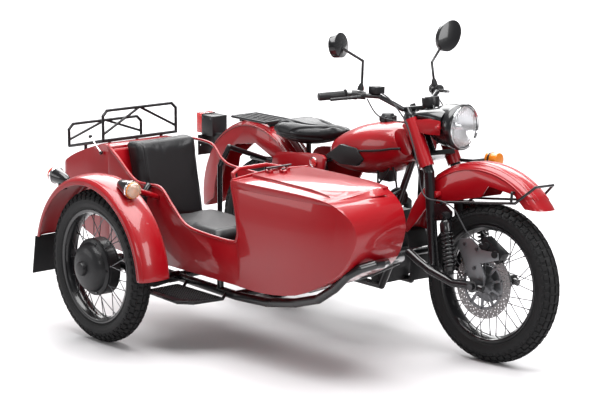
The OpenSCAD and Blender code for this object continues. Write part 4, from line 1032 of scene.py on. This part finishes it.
# ---- headlight and gauge ----
# A pressed black shell that runs back in two tapered cowls, with a black rim, a bright bead, a
# silvered bowl and a fluted glass; the round gauge stands in a cup above the upper yoke.
cowl_line = ((1.215, 0.030, 1.005), (1.165, 0.048, 1.014), (1.105, 0.062, 1.012), (1.060, 0.068, 1.006),
    (1.034, 0.070, 1.001))
cowl_radii = [0.076, 0.0735, 0.070, 0.065, 0.059, 0.053, 0.047, 0.041, 0.036, 0.031, 0.026, 0.021, 0.018, 0.015,
    0.012, 0.009, 0.006]
cowl_z = 1.010
cowl_flat = 0.62  # height of a cowl over its width
nacelle = merged("nacelle", *[tube("cowl", smooth_line([(x, s * y, z) for x, y, z in cowl_line], 4), cowl_radii,
    gloss_black, 32) for s in (-1, 1)])
for v in nacelle.vertices:
    v.co.z = cowl_z + (v.co.z - cowl_z) * cowl_flat + 0.020
nacelle.transform(fork_frame)
shell = merged("headlight_shell", dressed("headlight", gloss_black, 0.001, 40), shaded(nacelle, 60))
placed("headlight_shell", shell, "fork", "black_paint", "headlight")
glass = lens_material("lamp_glass", (0.96, 0.97, 0.98), 0.92, rough=0.03, coat=0.5, shift=0.01, bands="Y",
    scale=24.0, depth=0.6)
silvered = finish_material("silvered_bowl", (0.90, 0.90, 0.91), 0.08, metal=1.0, shift=0.03)
lamp_place = (1.290, 0, 0.997)
lamp_front = merged("lamp_front",
    lathed("rim", [(-0.022, 0.0985), (-0.018, 0.1025), (0.0, 0.1028), (0.007, 0.098), (0.008, 0.092),
        (0.004, 0.088), (-0.004, 0.088), (-0.004, 0.0985)], gloss_black, 96),
    lathed("bead", [(0.004, 0.0885), (0.0095, 0.0915), (0.0095, 0.0935), (0.004, 0.096)], chrome, 96),
    lathed("bowl", [(-0.029, 0.0), (-0.028, 0.020), (-0.024, 0.042), (-0.014, 0.066), (-0.002, 0.0865),
        (-0.029, 0.087)], silvered, 72),
    lathed("bulb_cap", [(-0.028, 0.0), (-0.028, 0.012), (-0.012, 0.013), (-0.009, 0.010), (-0.008, 0.0)],
        silvered, 32))
aimed(lamp_front, lamp_place, (1, 0, 0), fork_frame)
placed("headlight_rim", lamp_front, "fork", "bright_steel")
dome = lathed("dome", [(0.001, 0.0873), (0.0045, 0.0868), (0.010, 0.072), (0.0145, 0.045), (0.0165, 0.018),
    (0.017, 0.0), (0.0145, 0.0), (0.0125, 0.045), (0.008, 0.071), (0.001, 0.0855)], glass, 96)
aimed(dome, lamp_place, (1, 0, 0), fork_frame)
placed("headlight_glass", dome, "fork", "lamp_glass", "headlight_lens")
dial_face = finish_material("dial_face", (0.02, 0.02, 0.022), 0.35, coat=0.6, shift=0.2)
gauge = merged("gauge",
    lathed("cup", [(0.0, 0), (0.0, 0.034), (0.012, 0.039), (0.040, 0.0395), (0.046, 0.0385), (0.046, 0.034),
        (0.041, 0.033), (0.041, 0)], satin_black, 48),
    lathed("glass", [(0.041, 0), (0.041, 0.0335), (0.0435, 0.0335), (0.0435, 0)], dial_face, 48),
    lathed("rim", [(0.0435, 0.0345), (0.0475, 0.0355), (0.0475, 0.0385), (0.0435, 0.0395)], chrome, 48))
tilt = math.radians(-12)
aimed(gauge, (1.104, 0, 1.062), (math.sin(tilt), 0, math.cos(tilt)), fork_frame)
gauge_foot = tube("foot", [(1.083, 0, 1.030), (1.100, 0, 1.064)], 0.013, satin_black, 20)
gauge_foot.transform(fork_frame)
placed("gauge", merged("gauge", gauge, gauge_foot), "fork", "black_paint", "speedometer")

# ---- handlebar and its controls ----
# One bent steel bar in gloss black, with ribbed rubber grips, switch boxes, two levers, the
# fluid box of the brake, and cables that loop down to the lamp and the engine.
placed("bar", dressed("handlebar", gloss_black, 0, 60), "fork", "black_paint", "handlebar")
placed("controls", dressed("hand_controls", satin_black, 0.0022), "fork", "black_plastic", "hand_controls")
grip_rubber = finish_material("grip_rubber", (0.007, 0.007, 0.008), 0.6, shift=0.2, grain=0.4, size=400)
grip_parts = []
for s in (-1, 1):
    inner, outer = Vector((0.868, s * 0.285, 1.108)), Vector((0.810, s * 0.405, 1.097))
    run = outer - inner
    ring = lathed("ring", [(-0.0016, 0.0165), (-0.0010, 0.0182), (0.0010, 0.0182), (0.0016, 0.0165)],
        grip_rubber, 24)
    aimed(ring, inner + run * 0.12, run)
    grip_parts.append(grown(ring, repeat_tree(grip_rubber, True), count=20, step=tuple(run * 0.045)))
    grip_parts.append(aimed(lathed("flange", [(-0.004, 0.012), (-0.004, 0.024), (0.001, 0.024), (0.003, 0.018),
        (0.003, 0.012)], grip_rubber, 28), inner + run * 0.11, run))
kill_red = finish_material("switch_red", (0.6, 0.01, 0.01), 0.35, shift=0.1)
switch = tube("kill_switch", [(0.901, -0.232, 1.128), (0.903, -0.232, 1.142)], [0.007, 0.0055], kill_red, 16)
placed("grips", shaded(moved("grips", fork_frame, *grip_parts, switch), 40), "fork", "black_rubber")
cable_runs = [
    [(0.905, 0.262, 1.090), (0.990, 0.235, 1.030), (1.120, 0.150, 0.985), (1.175, 0.075, 0.985)],
    [(0.925, -0.225, 1.092), (0.965, -0.190, 1.020), (1.060, -0.140, 1.000), (1.150, -0.075, 0.985)],
    [(0.900, 0.240, 1.095), (0.960, 0.205, 1.020), (1.090, 0.135, 0.960), (1.120, 0.062, 0.930)],
    [(1.130, -0.030, 1.025), (1.165, -0.060, 1.045), (1.150, -0.040, 1.075), (1.118, -0.020, 1.075)]]
cables = [tube("cable", smooth_line(run, 8), 0.0032, satin_black, 8) for run in cable_runs]
placed("cables", moved("cables", fork_frame, *cables), "fork", "black_rubber")

# ---- mirrors and turn signal ----
# Oval mirrors on cranked stems with rubber boots, and an amber signal in a black cup on a
# stalk from the left fork leg.
mirror_glass = finish_material("mirror_glass", (0.80, 0.82, 0.84), 0.03, metal=1.0, shift=0.02)
mirror_shells = dressed("mirrors", gloss_black, 0.009, 50)
mirror_faces = []
pane_half = (0.066, 0.046)
for centre, spin in (((0.846, -0.345, 1.322), (0, -8, 20)), ((0.905, 0.326, 1.352), (62, -4, -18))):
    turn = (Matrix.Rotation(math.radians(spin[2]), 4, "Z") @ Matrix.Rotation(math.radians(spin[1]), 4, "Y")
        @ Matrix.Rotation(math.radians(spin[0]), 4, "X"))
    pane = lathed("pane", [(-0.0132, 0), (-0.0132, 1), (-0.0122, 1.01), (-0.0122, 0)], mirror_glass, 48)
    pane.transform(Matrix.Rotation(math.radians(-90), 4, "Z"))
    for v in pane.vertices:
        v.co.y *= pane_half[0]
        v.co.z *= pane_half[1]
    pane.transform(Matrix.Translation(centre) @ turn)
    mirror_faces.append(pane)
for low, high in (((0.9058, -0.2508, 1.128), (0.9082, -0.2472, 1.158)),
        ((0.9052, 0.2510, 1.128), (0.8990, 0.2492, 1.158))):
    line = [low, Vector(low).lerp(Vector(high), 0.5), high]
    mirror_faces.append(tube("boot", line, [0.015, 0.013, 0.008], grip_rubber, 20))
mirror_parts = moved("mirror_parts", fork_frame, *mirror_faces)
placed("mirror_pair", merged("mirror_pair", mirror_shells, mirror_parts), "fork", "black_plastic", "mirrors")
lens_from = 1.316  # the signal is amber in front of this
signal = repainted(dressed("turn_signal", satin_black, 0.004), amber_lens,
    lambda p: (back_again @ p).x > lens_from)
signal_rim = tube("rim", [(1.311, 0.180, 0.848), (1.319, 0.180, 0.848)], 0.0325, gloss_black, 32)
signal_rim.transform(fork_frame)
placed("turn_signal", merged("turn_signal", signal, signal_rim), "fork", "lamp_amber", "turn_signal")
